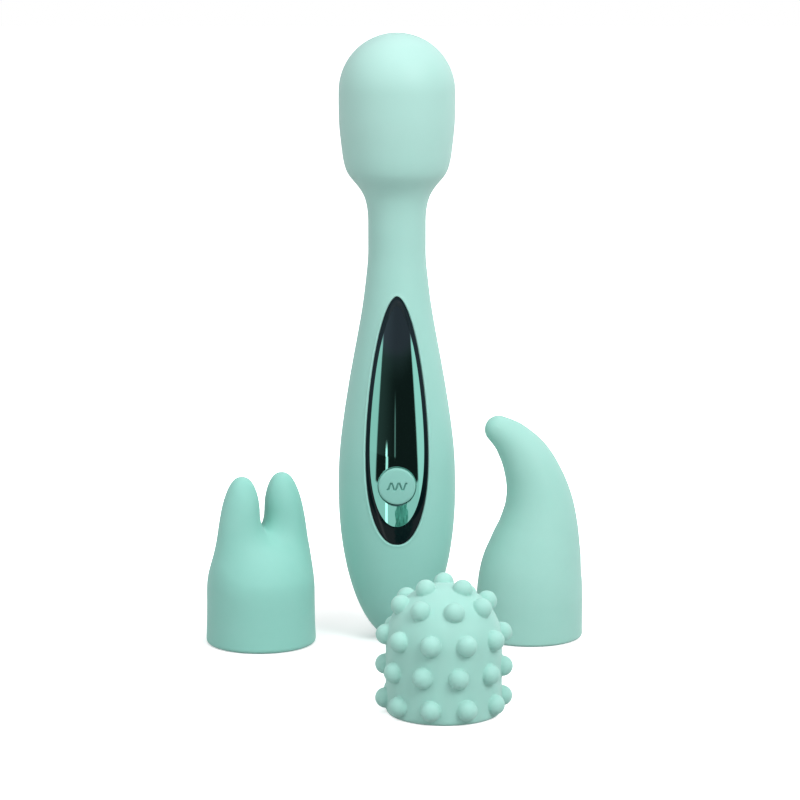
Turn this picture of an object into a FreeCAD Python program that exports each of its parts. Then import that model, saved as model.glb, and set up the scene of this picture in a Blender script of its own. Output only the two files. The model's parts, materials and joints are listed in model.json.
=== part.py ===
"""Handheld wand massager with three interchangeable silicone sleeves.

The wand stands upright on the flat foot at the end of its handle, with its control panel facing -Y.
Its handle, flexible neck and round head are wrapped in one silicone skin, which is cut here at the two
heights where the neck bends. The three sleeves stand beside the wand and pull over its head in use.
All sizes are in millimetres. The origin is the centre of the foot, and +Z runs up the wand's axis.
"""

import FreeCAD
import Part

import math
import os

V = FreeCAD.Vector
X_AXIS, Y_AXIS, Z_AXIS = V(1, 0, 0), V(0, 1, 0), V(0, 0, 1)

# ---- driving dimensions -------------------------------------------------------------------------
# wand outline
LENGTH = 200.3
HANDLE_R = 19.3  # at its widest
HANDLE_Z = 49.8  # height of the widest section
TAIL_SEMI_AXIS = 50.4  # the tail is a half ellipse, cut flat by the foot
NECK_R = 9.25
NECK_LOW_Z = 129.5  # the neck is a plain cylinder between these heights
NECK_TOP_Z = 138.5
HEAD_R = 18.9
HEAD_Z = LENGTH - HEAD_R  # centre of the head's dome
FLARE = [(17.4, 74.8), (14.1, 94.8), (11.0, 112.7)]  # (radius, height) between handle and neck
SHOULDER = [(10.6, 146.6), (13.0, 150.9), (16.2, 154.9), (17.5, 159.0), (18.6, 168.0)]

# skin and shells
SKIN = 1.6
HANDLE_WALL = 1.8
HEAD_WALL = 2.0
BEND_LOW_Z = 121.0  # the skin is cut here, where the neck starts to bend
BEND_TOP_Z = 145.0  # and here, where the stiff head begins
SHELL_TOP_Z = 118.0
HEAD_BASE_Z = 146.5
HEAD_SPLIT_Z = 172.0

# control panel, outlined as seen from the front
WINDOW_Z = 64.5  # height of the widest place
WINDOW_HALF = 10.5
WINDOW_UP = 51.4  # from the widest place to the top and bottom tips
WINDOW_DOWN = 29.4
PANEL_Z = 66.0
PANEL_HALF = 9.0
PANEL_UP = 47.0
PANEL_DOWN = 25.2
TIP_POWERS = (1.7, 1.8)  # the top is more pointed than an ellipse
TAIL_POWERS = (2.3, 2.2)  # the bottom is fuller than one
BEZEL_TOP, BEZEL_BOTTOM = 0.5, 2.2  # depths below the outside of the skin
PANEL_TOP, PANEL_BOTTOM = 0.7, 2.6

# button and its switch
BUTTON_Z = 54.7
BUTTON_R = 6.1
BUTTON_TOP = 0.35  # depth of its face below the outside of the skin
BUTTON_GAP = 0.2
BUTTON_TRAVEL = 0.5
FLANGE_R = 7.2
FLANGE_Y = -14.9  # front of the flange that keeps the button in
FLANGE_T = 0.8
STEM_R = 2.4
SEAL_T = 0.3
PLUNGER_R = 1.6
PLUNGER_PROUD = 0.8  # how far the plunger stands out of the switch
PLUNGER_REACH = 0.8  # and how far it stands inside, at rest
SWITCH_SIDE = 6.0
SWITCH_HEIGHT = 3.5

# circuit board, chassis and battery
BOARD_Y = -9.6  # front face
BOARD_T = 1.2
BOARD_HALF = 7.0
BOARD_Z = (38.0, 82.0)
BOARD_SCREW_X = 5.2
BOARD_SCREW_Z = (47.0, 72.5)
BOARD_POST_R = 1.6
CHIP_HALF = 2.5
CHIP_T = 1.0
CHIP_Z = (68.0, 73.0)
LED_HALF = 0.8
LED_T = 0.7
LED_Z = (62.5, 64.1)
CHASSIS_Y = -7.0
CHASSIS_T = 1.2
CHASSIS_HALF = 8.3
CHASSIS_Z = (36.0, 88.0)
CHASSIS_SCREW_Z = (33.0, 95.5)
CHASSIS_SCREW = 3.4  # length in front of the chassis
TAB_REACH = 2.5  # of the tabs beyond the chassis screws
TAB_HALF = 2.4
POST_R = 2.0
CRADLE_Z = (50.0, 76.0)  # bottoms of the two ribs that hold the battery
CRADLE_WIDTH = 3.0
CELL_R = 7.0
CELL_Y = 1.7
CELL_Z = (38.0, 88.0)
TERMINAL_R = 2.6
TERMINAL_T = 1.0

# leads
LEAD_R = 0.5
LEAD_GAP = 1.5  # between the middles of a pair
LEAD_X = 4.2  # how far off the middle the leads meet the board
LEAD_Y = -10.8
LEAD_BEND = 1.2  # radius of a lead's turns
CONNECTOR_HALF = 2.1
CONNECTOR_HEIGHT = 1.8
LOW_CONNECTOR_Z = (38.5, 42.5)
TOP_CONNECTOR_Z = (76.5, 80.5)

# charging socket
PORT_R = 1.3  # takes a 2.5 mm plug
PORT_DEPTH = 14.0
NOSE_R = 1.9  # of the socket's nose, which is flush with the foot
BARREL_R = 2.5
SOCKET_Z = 6.0  # bottom of the socket's square body
SOCKET_HALF = 3.6
SOCKET_TOP_Z = 18.0
SEAL_LOW_Z = 4.0
SEAL_WIDTH = 0.9

# neck core
CORE_HOLE_R = 2.4
CORE_R = 6.3
CORE_Z = (111.0, 152.5)
LOW_FLANGE = (7.2, 1.8)  # (radius, thickness)
TOP_FLANGE = (8.2, 2.0)

# motor
MOTOR_R = 10.1
MOTOR_Z = (154.5, 176.0)
ENDBELL_TOP_Z = 158.0
CAN_WALL = 0.8
CAN_NOSE_T = 1.0
MAGNET_T = 2.2
MAGNET_Z = (159.5, 172.5)
MAGNET_GAP = 4.0  # half the gap between the two magnets
ARMATURE_R = 6.4
ARMATURE_Z = (161.0, 171.5)
ARMATURE_SLOT_R = 1.9
COMMUTATOR_R = 2.4
COMMUTATOR_Z = 158.6
BUSH_R = 3.0
BUSH_NECK_R = 2.4
BUSH_TOP_Z = 177.8
SHAFT_R = 1.0
RUNNING_GAP = 0.05
SHAFT_Z = (156.0, 187.0)
SHAFT_PLAY = 0.5  # under the end of the shaft
WEIGHT_R = 11.5
WEIGHT_Z = (179.5, 186.0)
HUB_R = 2.6
PLATE_Z = (176.0, 177.2)
PLATE_R = 14.2
PILLAR_RING_R = 12.6
PILLAR_R = 2.0
PILLAR_Z = 158.5
MOTOR_SCREW_RING_R = 6.0

# sleeves
SLEEVE_R = 17.6
SLEEVE_WALL = 2.0
SLEEVE_EDGE = 1.2  # rounding of the lower rim
TWIN_AT = (-45.0, -6.3)
TWIN_TURN = 33.0  # degrees that the left tip comes forward
CURVED_AT = (44.2, 2.6)
NUB_AT = (14.3, -92.6)

# fasteners
SCREW_PLACES = [(10.5, 27.0, 2.7), (5.4, 106.5, 2.1)]  # (distance from the axis, height, boss radius)
SCREW_SHANK_R = 1.0
SCREW_HEAD_R = 1.9
SCREW_HEAD_T = 1.3
SCREW_HEAD_Y = 5.0
SCREW_TIP_Y = -5.0
SCREW_SLOT = (1.2, 0.25, 0.6)  # half length, half width and depth
SMALL_SHANK_R = 0.7
SMALL_HEAD_R = 1.4
SMALL_HEAD_T = 0.9
SMALL_SLOT = (1.0, 0.2, 0.4)
PLATE_SCREW = 5.5  # lengths under the head
MOTOR_SCREW = 2.2
HOLE_GAP = 0.1  # round a screw, between radii

# for cutting tools
FAR = 300.0  # larger than anything here
PAST = 1.0  # how far a cut runs past the face that it opens


# ---- helpers ------------------------------------------------------------------------------------
def cylinder(radius, low, high, x=0.0, y=0.0):
    """An upright cylinder between two heights."""
    return Part.makeCylinder(radius, high - low, V(x, y, low), Z_AXIS)


def cylinder_y(radius, front, back, x, z):
    """A cylinder along Y between two depths."""
    return Part.makeCylinder(radius, back - front, V(x, front, z), Y_AXIS)


def ring(outer, inner, low, high):
    return cylinder(outer, low, high).cut(cylinder(inner, low - PAST, high + PAST))


def ball(radius, x, y, z):
    return Part.makeSphere(radius, V(x, y, z))


def box(x, y, z):
    """A box from three (low, high) pairs."""
    return Part.makeBox(x[1] - x[0], y[1] - y[0], z[1] - z[0], V(x[0], y[0], z[0]))


def between(shape, low, high):
    """The part of a shape between two heights."""
    return shape.common(box((-FAR, FAR), (-FAR, FAR), (low, high)))


def moved(shape, x, y, turn=0.0):
    """A copy turned about the Z axis, then moved on the table."""
    copy = shape.copy()
    copy.rotate(V(0, 0, 0), Z_AXIS, turn)
    copy.translate(V(x, y, 0))
    return copy


def fused(shapes):
    return shapes[0].multiFuse(shapes[1:]).removeSplitter()


def ring_places(count, radius, start=0.0):
    """Points spaced evenly on a circle about the Z axis."""
    angles = [math.radians(start + 360.0 * k / count) for k in range(count)]
    return [(radius * math.cos(a), radius * math.sin(a)) for a in angles]


def lead(points):
    """A round lead along straight runs that are joined by tangent arcs."""
    edges = []
    start = points[0]
    for before, corner, after in zip(points, points[1:], points[2:]):
        arrive = (corner - before).normalize()
        leave = (after - corner).normalize()
        half_turn = arrive.getAngle(leave) / 2
        setback = LEAD_BEND * math.tan(half_turn)
        first = corner - arrive * setback
        last = corner + leave * setback
        inward = (leave - arrive).normalize()
        middle = corner + inward * (LEAD_BEND / math.cos(half_turn) - LEAD_BEND)
        edges.append(Part.LineSegment(start, first).toShape())
        edges.append(Part.Arc(first, middle, last).toShape())
        start = last
    edges.append(Part.LineSegment(start, points[-1]).toShape())
    path = Part.Wire(edges)
    section = Part.Wire(Part.Circle(points[0], points[1] - points[0], LEAD_R).toShape())
    return path.makePipeShell([section], True, False)


def save(name, shape):
    """Writes a node's solids as one STEP file, and stops if any of them is not closed and valid."""
    solids = shape.Solids
    if not solids or not all(s.isValid() and s.Volume > 0 for s in solids):
        raise ValueError(f"{name} is not a valid solid")
    body = solids[0] if len(solids) == 1 else Part.makeCompound(solids)
    body.exportStep(f"parts/{name}.step")
    print(f"{name}: {len(solids)} solid(s), {sum(s.Volume for s in solids):.1f} mm3")


# ---- the wand's outline -------------------------------------------------------------------------
def inset_spline(points, inset):
    """A smooth outline through (radius, height) points that starts and ends upright, moved inwards."""
    at = [V(r, 0, z) for r, z in points]
    outer = Part.BSplineCurve()
    outer.interpolate(Points=at, InitialTangent=Z_AXIS, FinalTangent=Z_AXIS)
    if not inset:
        return outer
    inner_points = []
    for p in at:
        along = outer.tangent(outer.parameter(p))[0]
        inner_points.append(p + V(-along.z, 0, along.x).normalize() * inset)
    inner = Part.BSplineCurve()
    inner.interpolate(Points=inner_points, InitialTangent=Z_AXIS, FinalTangent=Z_AXIS)
    return inner


def wand(inset, low=0.0, high=LENGTH):
    """The solid inside the wand's outer surface moved inwards by an inset, between two heights."""
    wide, tall = HANDLE_R - inset, TAIL_SEMI_AXIS - inset
    foot_angle = math.asin((HANDLE_Z - inset) / tall)
    foot_r = wide * math.cos(foot_angle)
    tail = Part.Ellipse(V(0, 0, HANDLE_Z + tall), V(wide, 0, HANDLE_Z), V(0, 0, HANDLE_Z))
    tail_low, tail_high = V(foot_r, 0, inset), V(wide, 0, HANDLE_Z)
    ends = sorted((tail.parameter(tail_low), tail.parameter(tail_high)))
    flare = inset_spline([(HANDLE_R, HANDLE_Z), *FLARE, (NECK_R, NECK_LOW_Z)], inset)
    shoulder = inset_spline([(NECK_R, NECK_TOP_Z), *SHOULDER, (HEAD_R, HEAD_Z)], inset)
    head_r = HEAD_R - inset
    half = head_r * math.sqrt(0.5)
    neck_r = NECK_R - inset
    dome = Part.Arc(V(head_r, 0, HEAD_Z), V(half, 0, HEAD_Z + half), V(0, 0, HEAD_Z + head_r))
    edges = [
        Part.LineSegment(V(0, 0, inset), tail_low).toShape(),
        tail.toShape(*ends),
        flare.toShape(),
        Part.LineSegment(V(neck_r, 0, NECK_LOW_Z), V(neck_r, 0, NECK_TOP_Z)).toShape(),
        shoulder.toShape(),
        dome.toShape(),
        Part.LineSegment(V(0, 0, HEAD_Z + head_r), V(0, 0, inset)).toShape(),
    ]
    wire = Part.Wire(Part.__sortEdges__(edges))
    solid = Part.Face(wire).revolve(V(0, 0, 0), Z_AXIS, 360)
    return between(solid, max(low, inset), min(high, HEAD_Z + head_r))


def outline_half(z, centre, half, up, down):
    """Half the width of a pointed oval at a height."""
    share = (z - centre) / up if z > centre else (centre - z) / down
    power, root = TIP_POWERS if z > centre else TAIL_POWERS
    return half * max(0.0, 1 - share**power) ** (1 / root)


def window_prism(centre, half, up, down, grow=0.0):
    """A pointed oval, drawn from the front and pushed through the front half of the handle."""
    half, up, down = half + grow, up + grow, down + grow
    steps = 14
    right = []
    for k in range(1, steps):
        z = centre - (up + down) / 2 * math.cos(math.pi * k / steps) + (up - down) / 2
        right.append(V(outline_half(z, centre, half, up, down), 0, z))
    left = [V(-p.x, 0, p.z) for p in reversed(right)]
    oval = [V(0, 0, centre - down), *right, V(0, 0, centre + up), *left]
    curve = Part.BSplineCurve()
    curve.interpolate(Points=oval, PeriodicFlag=True)
    face = Part.Face(Part.Wire(curve.toShape()))
    return face.extrude(V(0, -2 * HANDLE_R, 0))


# ---- handle -------------------------------------------------------------------------------------
def window():
    return window_prism(WINDOW_Z, WINDOW_HALF, WINDOW_UP, WINDOW_DOWN)


def panel_outline(grow=0.0):
    return window_prism(PANEL_Z, PANEL_HALF, PANEL_UP, PANEL_DOWN, grow)


def handle_skin():
    skin = wand(0, 0, BEND_LOW_Z).cut(wand(SKIN, SKIN, BEND_LOW_Z))
    return skin.cut(window()).cut(cylinder(NOSE_R, -PAST, SKIN + PAST))


def handle_shells():
    """The front and rear halves of the stiff handle, with their screw bosses."""
    depth = SKIN + HANDLE_WALL
    inside = wand(depth, depth, SHELL_TOP_Z)
    solid = wand(SKIN, SKIN, SHELL_TOP_Z)
    wall = solid.cut(inside)
    bosses = []
    for distance, z, radius in SCREW_PLACES:
        for x in (-distance, distance):
            bosses.append(cylinder_y(radius, -HANDLE_R, HANDLE_R, x, z).common(solid))
    whole = wall.multiFuse(bosses)
    front = whole.common(box((-FAR, FAR), (-FAR, 0), (0, FAR)))
    rear = whole.common(box((-FAR, FAR), (0, FAR), (0, FAR)))
    for z in CHASSIS_SCREW_Z:
        front = front.fuse(cylinder_y(POST_R, -HANDLE_R, CHASSIS_Y, 0, z).common(solid))
        front = front.cut(cylinder_y(SMALL_SHANK_R, CHASSIS_Y - CHASSIS_SCREW, CHASSIS_Y, 0, z))
    seat = window().common(wand(0, 0, BEND_LOW_Z)).cut(wand(PANEL_BOTTOM, PANEL_BOTTOM, BEND_LOW_Z))
    front = front.cut(seat)
    front = front.cut(cylinder_y(FLANGE_R + BUTTON_GAP, -HANDLE_R, 0, 0, BUTTON_Z))
    port = cylinder(BARREL_R, 0, depth + PAST)
    front, rear = front.cut(port), rear.cut(port)
    for x, z in screw_axes():
        pilot = cylinder_y(SCREW_SHANK_R, SCREW_TIP_Y, 0, x, z)
        through = cylinder_y(SCREW_SHANK_R + HOLE_GAP, 0, HANDLE_R, x, z)
        counterbore = cylinder_y(SCREW_HEAD_R + HOLE_GAP, SCREW_HEAD_Y, HANDLE_R, x, z)
        front = front.cut(pilot)
        rear = rear.cut(through).cut(counterbore)
    return front.removeSplitter(), rear.removeSplitter()


def screw_axes():
    return [(side * distance, z) for distance, z, _ in SCREW_PLACES for side in (-1, 1)]


def shell_screws():
    screws = []
    long, wide, deep = SCREW_SLOT
    top = SCREW_HEAD_Y + SCREW_HEAD_T
    for x, z in screw_axes():
        head = cylinder_y(SCREW_HEAD_R, SCREW_HEAD_Y, top, x, z)
        shank = cylinder_y(SCREW_SHANK_R, SCREW_TIP_Y, SCREW_HEAD_Y, x, z)
        slot = box((x - long, x + long), (top - deep, top + PAST), (z - wide, z + wide))
        screws.append(head.fuse(shank).cut(slot))
    return Part.makeCompound(screws)


def layer(top, bottom):
    """The wall between two depths below the wand's outer surface, over the window's height."""
    low, high = WINDOW_Z - WINDOW_DOWN - PAST, WINDOW_Z + WINDOW_UP + PAST
    return wand(top, low, high).cut(wand(bottom, low - PAST, high + PAST))


def trim_bezel():
    return layer(BEZEL_TOP, BEZEL_BOTTOM).common(window()).cut(panel_outline())


def panel_gasket():
    return layer(BEZEL_BOTTOM, PANEL_BOTTOM).common(window()).cut(panel_outline())


def control_panel():
    plate = layer(PANEL_TOP, PANEL_BOTTOM).common(panel_outline())
    return plate.cut(cylinder_y(BUTTON_R + BUTTON_GAP, -2 * HANDLE_R, 0, 0, BUTTON_Z))


# ---- button and switch --------------------------------------------------------------------------
SWITCH_FRONT_Y = BOARD_Y - SWITCH_HEIGHT
PLUNGER_TOP_Y = SWITCH_FRONT_Y - PLUNGER_PROUD


def button_cap():
    face = wand(BUTTON_TOP, BUTTON_Z - FLANGE_R, BUTTON_Z + FLANGE_R)
    cap = cylinder_y(BUTTON_R, -HANDLE_R, FLANGE_Y, 0, BUTTON_Z).common(face)
    flange = cylinder_y(FLANGE_R, FLANGE_Y, FLANGE_Y + FLANGE_T, 0, BUTTON_Z)
    stem = cylinder_y(STEM_R, FLANGE_Y + FLANGE_T, PLUNGER_TOP_Y, 0, BUTTON_Z)
    return fused([cap, flange, stem])


def button_seal():
    """A thin silicone washer behind the flange, which moves with the button and keeps damp out."""
    front = FLANGE_Y + FLANGE_T
    back = front + SEAL_T
    disc = cylinder_y(FLANGE_R + BUTTON_GAP / 2, front, back, 0, BUTTON_Z)
    return disc.cut(cylinder_y(STEM_R, front - PAST, back + PAST, 0, BUTTON_Z))


def switch_plunger():
    return cylinder_y(PLUNGER_R, PLUNGER_TOP_Y, SWITCH_FRONT_Y + PLUNGER_REACH, 0, BUTTON_Z)


def tact_switch():
    half = SWITCH_SIDE / 2
    body = box((-half, half), (SWITCH_FRONT_Y, BOARD_Y), (BUTTON_Z - half, BUTTON_Z + half))
    well_back = SWITCH_FRONT_Y + PLUNGER_REACH + 2 * BUTTON_TRAVEL
    return body.cut(cylinder_y(PLUNGER_R + RUNNING_GAP, SWITCH_FRONT_Y - PAST, well_back, 0, BUTTON_Z))


# ---- circuit board, chassis and battery ---------------------------------------------------------
BOARD_SCREWS = [(x, z) for x in (-BOARD_SCREW_X, BOARD_SCREW_X) for z in BOARD_SCREW_Z]
BOARD_BACK_Y = BOARD_Y + BOARD_T
CHASSIS_BACK_Y = CHASSIS_Y + CHASSIS_T


def circuit_board():
    board = box((-BOARD_HALF, BOARD_HALF), (BOARD_Y, BOARD_BACK_Y), BOARD_Z)
    for x, z in BOARD_SCREWS:
        hole = cylinder_y(SMALL_SHANK_R + HOLE_GAP, BOARD_Y - PAST, BOARD_BACK_Y + PAST, x, z)
        board = board.cut(hole)
    return board


def controller_chip():
    return box((-CHIP_HALF, CHIP_HALF), (BOARD_Y - CHIP_T, BOARD_Y), CHIP_Z)


def status_led():
    return box((-LED_HALF, LED_HALF), (BOARD_Y - LED_T, BOARD_Y), LED_Z)


def lead_connectors():
    """The sockets on the board for the charging, battery and motor leads."""
    places = [(LEAD_X, LOW_CONNECTOR_Z), (-LEAD_X, TOP_CONNECTOR_Z), (LEAD_X, TOP_CONNECTOR_Z)]
    depth = (BOARD_Y - CONNECTOR_HEIGHT, BOARD_Y)
    return Part.makeCompound([box((x - CONNECTOR_HALF, x + CONNECTOR_HALF), depth, z) for x, z in places])


def board_screws():
    screws = []
    for x, z in BOARD_SCREWS:
        head = cylinder_y(SMALL_HEAD_R, BOARD_Y - SMALL_HEAD_T, BOARD_Y, x, z)
        screws.append(head.fuse(cylinder_y(SMALL_SHANK_R, BOARD_Y, CHASSIS_Y, x, z)))
    return Part.makeCompound(screws)


def chassis():
    """The frame that carries the board in front and cradles the battery behind."""
    depth = (CHASSIS_Y, CHASSIS_BACK_Y)
    low, high = CHASSIS_SCREW_Z
    pieces = [
        box((-CHASSIS_HALF, CHASSIS_HALF), depth, CHASSIS_Z),
        box((-TAB_HALF, TAB_HALF), depth, (low - TAB_REACH, high + TAB_REACH)),
    ]
    for x, z in BOARD_SCREWS:
        post = cylinder_y(BOARD_POST_R, BOARD_BACK_Y, CHASSIS_Y, x, z)
        pieces.append(post.cut(cylinder_y(SMALL_SHANK_R, BOARD_Y, CHASSIS_Y, x, z)))
    for z in CRADLE_Z:
        reach = (CHASSIS_BACK_Y, CELL_Y + CELL_R / 2)
        pieces.append(box((-CHASSIS_HALF, CHASSIS_HALF), reach, (z, z + CRADLE_WIDTH)))
    frame = fused(pieces)
    frame = frame.cut(cylinder(CELL_R + HOLE_GAP, CELL_Z[0] - PAST, CELL_Z[1] + PAST, 0, CELL_Y))
    for z in CHASSIS_SCREW_Z:
        hole = cylinder_y(SMALL_SHANK_R + HOLE_GAP, CHASSIS_Y - PAST, CHASSIS_BACK_Y + PAST, 0, z)
        frame = frame.cut(hole)
    return frame


def chassis_screws():
    screws = []
    for z in CHASSIS_SCREW_Z:
        shank = cylinder_y(SMALL_SHANK_R, CHASSIS_Y - CHASSIS_SCREW, CHASSIS_BACK_Y, 0, z)
        head = cylinder_y(SMALL_HEAD_R, CHASSIS_BACK_Y, CHASSIS_BACK_Y + SMALL_HEAD_T, 0, z)
        screws.append(shank.fuse(head))
    return Part.makeCompound(screws)


def battery_cell():
    low, high = CELL_Z
    can = cylinder(CELL_R, low, high - TERMINAL_T, 0, CELL_Y)
    return can.fuse(cylinder(TERMINAL_R, high - TERMINAL_T, high, 0, CELL_Y))


# ---- charging socket and leads ------------------------------------------------------------------
def charge_socket():
    nose = cylinder(NOSE_R, 0, SKIN)
    barrel = cylinder(BARREL_R, SKIN, SOCKET_Z)
    half = SOCKET_HALF
    body = box((-half, half), (-half, half), (SOCKET_Z, SOCKET_TOP_Z))
    return fused([nose, barrel, body]).cut(cylinder(PORT_R, 0, PORT_DEPTH))


def socket_seal():
    return ring(BARREL_R + SEAL_WIDTH, BARREL_R, SEAL_LOW_Z, SOCKET_Z)


def lead_pair(points):
    """Two leads side by side along the same route."""
    leads = []
    for side in (-LEAD_GAP / 2, LEAD_GAP / 2):
        leads.append(lead([p + V(side, 0, 0) for p in points]))
    return Part.makeCompound(leads)


def charge_leads():
    route = [V(0, 0, SOCKET_TOP_Z), V(0, 0, 22.0), V(LEAD_X, LEAD_Y, 29.0)]
    return lead_pair(route + [V(LEAD_X, LEAD_Y, LOW_CONNECTOR_Z[0])])


def battery_leads():
    over = CELL_Z[1] + 5.5
    route = [V(0, CELL_Y, CELL_Z[1]), V(0, CELL_Y, over), V(-LEAD_X, -6.5, over)]
    return lead_pair(route + [V(-LEAD_X, LEAD_Y, 84.0), V(-LEAD_X, LEAD_Y, TOP_CONNECTOR_Z[1])])


def motor_leads():
    """These pass beside the chassis tab and up the middle of the neck."""
    route = [V(LEAD_X, LEAD_Y, TOP_CONNECTOR_Z[1]), V(LEAD_X, LEAD_Y, 84.0), V(LEAD_X, -3.5, 98.0)]
    return lead_pair(route + [V(0, 0, 106.0), V(0, 0, MOTOR_Z[0])])


# ---- flexible neck ------------------------------------------------------------------------------
def neck_skin():
    inside = wand(SKIN, BEND_LOW_Z - PAST, BEND_TOP_Z + PAST)
    return wand(0, BEND_LOW_Z, BEND_TOP_Z).cut(inside)


def neck_core():
    """The rubber core that bends, keyed into the handle and the head by a flange at each end."""
    low, high = CORE_Z
    waist = wand(SKIN, SHELL_TOP_Z, HEAD_BASE_Z).common(cylinder(NECK_R - SKIN, 0, LENGTH))
    low_flange = cylinder(LOW_FLANGE[0], low, low + LOW_FLANGE[1])
    top_flange = cylinder(TOP_FLANGE[0], high - TOP_FLANGE[1], high)
    core = fused([cylinder(CORE_R, low, high), waist, low_flange, top_flange])
    return core.cut(cylinder(CORE_HOLE_R, 0, LENGTH))


# ---- head ---------------------------------------------------------------------------------------
HEAD_DEPTH = SKIN + HEAD_WALL
PILLARS = ring_places(3, PILLAR_RING_R, 90)
MOTOR_SCREWS = ring_places(2, MOTOR_SCREW_RING_R)


def head_skin():
    return wand(0, BEND_TOP_Z, LENGTH).cut(wand(SKIN, BEND_TOP_Z - PAST, LENGTH))


def head_base():
    """The lower half of the stiff head, which grips the neck's core and carries the motor."""
    base = wand(SKIN, HEAD_BASE_Z, HEAD_SPLIT_Z).cut(wand(HEAD_DEPTH, PILLAR_Z, HEAD_SPLIT_Z + PAST))
    base = base.cut(cylinder(MOTOR_R + HOLE_GAP, MOTOR_Z[0], HEAD_SPLIT_Z + PAST))
    base = base.cut(cylinder(CORE_R, 0, CORE_Z[1]))
    base = base.cut(cylinder(TOP_FLANGE[0], CORE_Z[1] - TOP_FLANGE[1], CORE_Z[1]))
    base = base.cut(cylinder(CORE_HOLE_R, 0, MOTOR_Z[0] + PAST))
    pillars = []
    for x, y in PILLARS:
        pillar = cylinder(PILLAR_R, PILLAR_Z, PLATE_Z[0], x, y)
        pillars.append(pillar.common(wand(SKIN, 0, LENGTH)))
    base = base.multiFuse(pillars)
    for x, y in PILLARS:
        base = base.cut(cylinder(SMALL_SHANK_R, PLATE_Z[1] - PLATE_SCREW, PLATE_Z[0] + PAST, x, y))
    return base.removeSplitter()


def head_dome():
    return wand(SKIN, HEAD_SPLIT_Z, LENGTH).cut(wand(HEAD_DEPTH, HEAD_SPLIT_Z - PAST, LENGTH))


# ---- motor --------------------------------------------------------------------------------------
NOSE_LOW_Z = MOTOR_Z[1] - CAN_NOSE_T


def motor_endbell():
    bell = cylinder(MOTOR_R, MOTOR_Z[0], ENDBELL_TOP_Z)
    return bell.cut(cylinder(SHAFT_R + RUNNING_GAP, SHAFT_Z[0] - SHAFT_PLAY, ENDBELL_TOP_Z + PAST))


def motor_can():
    can = cylinder(MOTOR_R, ENDBELL_TOP_Z, MOTOR_Z[1])
    can = can.cut(cylinder(MOTOR_R - CAN_WALL, ENDBELL_TOP_Z - PAST, NOSE_LOW_Z))
    can = can.cut(cylinder(BUSH_NECK_R, NOSE_LOW_Z - PAST, MOTOR_Z[1] + PAST))
    for x, y in MOTOR_SCREWS:
        can = can.cut(cylinder(SMALL_SHANK_R, NOSE_LOW_Z - PAST, MOTOR_Z[1] + PAST, x, y))
    return can


def motor_bush():
    """The sintered bush in the can's nose that the shaft turns in."""
    neck = cylinder(BUSH_NECK_R, NOSE_LOW_Z, MOTOR_Z[1])
    collar = cylinder(BUSH_R, MOTOR_Z[1], BUSH_TOP_Z)
    return neck.fuse(collar).cut(cylinder(SHAFT_R + RUNNING_GAP, 0, LENGTH))


def motor_magnets():
    """Two curved magnets against the can's wall."""
    outer = MOTOR_R - CAN_WALL
    shell = ring(outer, outer - MAGNET_T, *MAGNET_Z)
    return shell.cut(box((-MAGNET_GAP, MAGNET_GAP), (-FAR, FAR), (0, FAR)))


def motor_shaft():
    return cylinder(SHAFT_R, *SHAFT_Z)


def armature():
    """The laminated rotor with its three poles, and the commutator under it."""
    low, high = ARMATURE_Z
    stack = cylinder(ARMATURE_R, low, high)
    for x, y in ring_places(3, ARMATURE_R, 30):
        stack = stack.cut(cylinder(ARMATURE_SLOT_R, low - PAST, high + PAST, x, y))
    commutator = cylinder(COMMUTATOR_R, COMMUTATOR_Z, low)
    return stack.fuse(commutator).cut(cylinder(SHAFT_R, 0, LENGTH))


def eccentric_weight():
    """A heavy half disc on a small hub: its spin is what makes the head vibrate."""
    half = cylinder(WEIGHT_R, *WEIGHT_Z).common(box((-FAR, FAR), (-FAR, 0), (0, FAR)))
    hub = cylinder(HUB_R, *WEIGHT_Z)
    return half.fuse(hub).cut(cylinder(SHAFT_R, 0, LENGTH)).removeSplitter()


def motor_plate():
    low, high = PLATE_Z
    plate = ring(PLATE_R, BUSH_R, low, high)
    for x, y in PILLARS + MOTOR_SCREWS:
        plate = plate.cut(cylinder(SMALL_SHANK_R + HOLE_GAP, low - PAST, high + PAST, x, y))
    return plate


def plate_screw(x, y, length):
    """An upright screw with a slotted head on top of the motor's plate."""
    under = PLATE_Z[1]
    top = under + SMALL_HEAD_T
    long, wide, deep = SMALL_SLOT
    shank = cylinder(SMALL_SHANK_R, under - length, under, x, y)
    head = cylinder(SMALL_HEAD_R, under, top, x, y)
    slot = box((x - long, x + long), (y - wide, y + wide), (top - deep, top + PAST))
    return shank.fuse(head).cut(slot)


def plate_screws():
    return Part.makeCompound([plate_screw(x, y, PLATE_SCREW) for x, y in PILLARS])


def motor_screws():
    return Part.makeCompound([plate_screw(x, y, MOTOR_SCREW) for x, y in MOTOR_SCREWS])


# ---- sleeves ------------------------------------------------------------------------------------
TWIN_DOME_Z = 11.5  # the twin-tip sleeve's side is upright below this height
TWIN_DOME_HEIGHT = 27.5
TIP_SECTIONS = [(15.0, 8.2, 10.6), (34.0, 9.1, 7.4), (44.5, 8.6, 6.2)]  # (height, distance from axis, radius)
TIP_END_Z = 49.8
TWIN_CAVITY_Z = 15.0  # where the cavity's rounded end begins
CAVITY_R = SLEEVE_R - SLEEVE_WALL
TWIN_SQUASH = 0.6  # height of a cavity's rounded end, as a share of its radius
CURVED_SQUASH = 0.9
CURVED_CAVITY_Z = 12.0  # where the rounded ends begin
NUB_CAVITY_Z = 21.0

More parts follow.
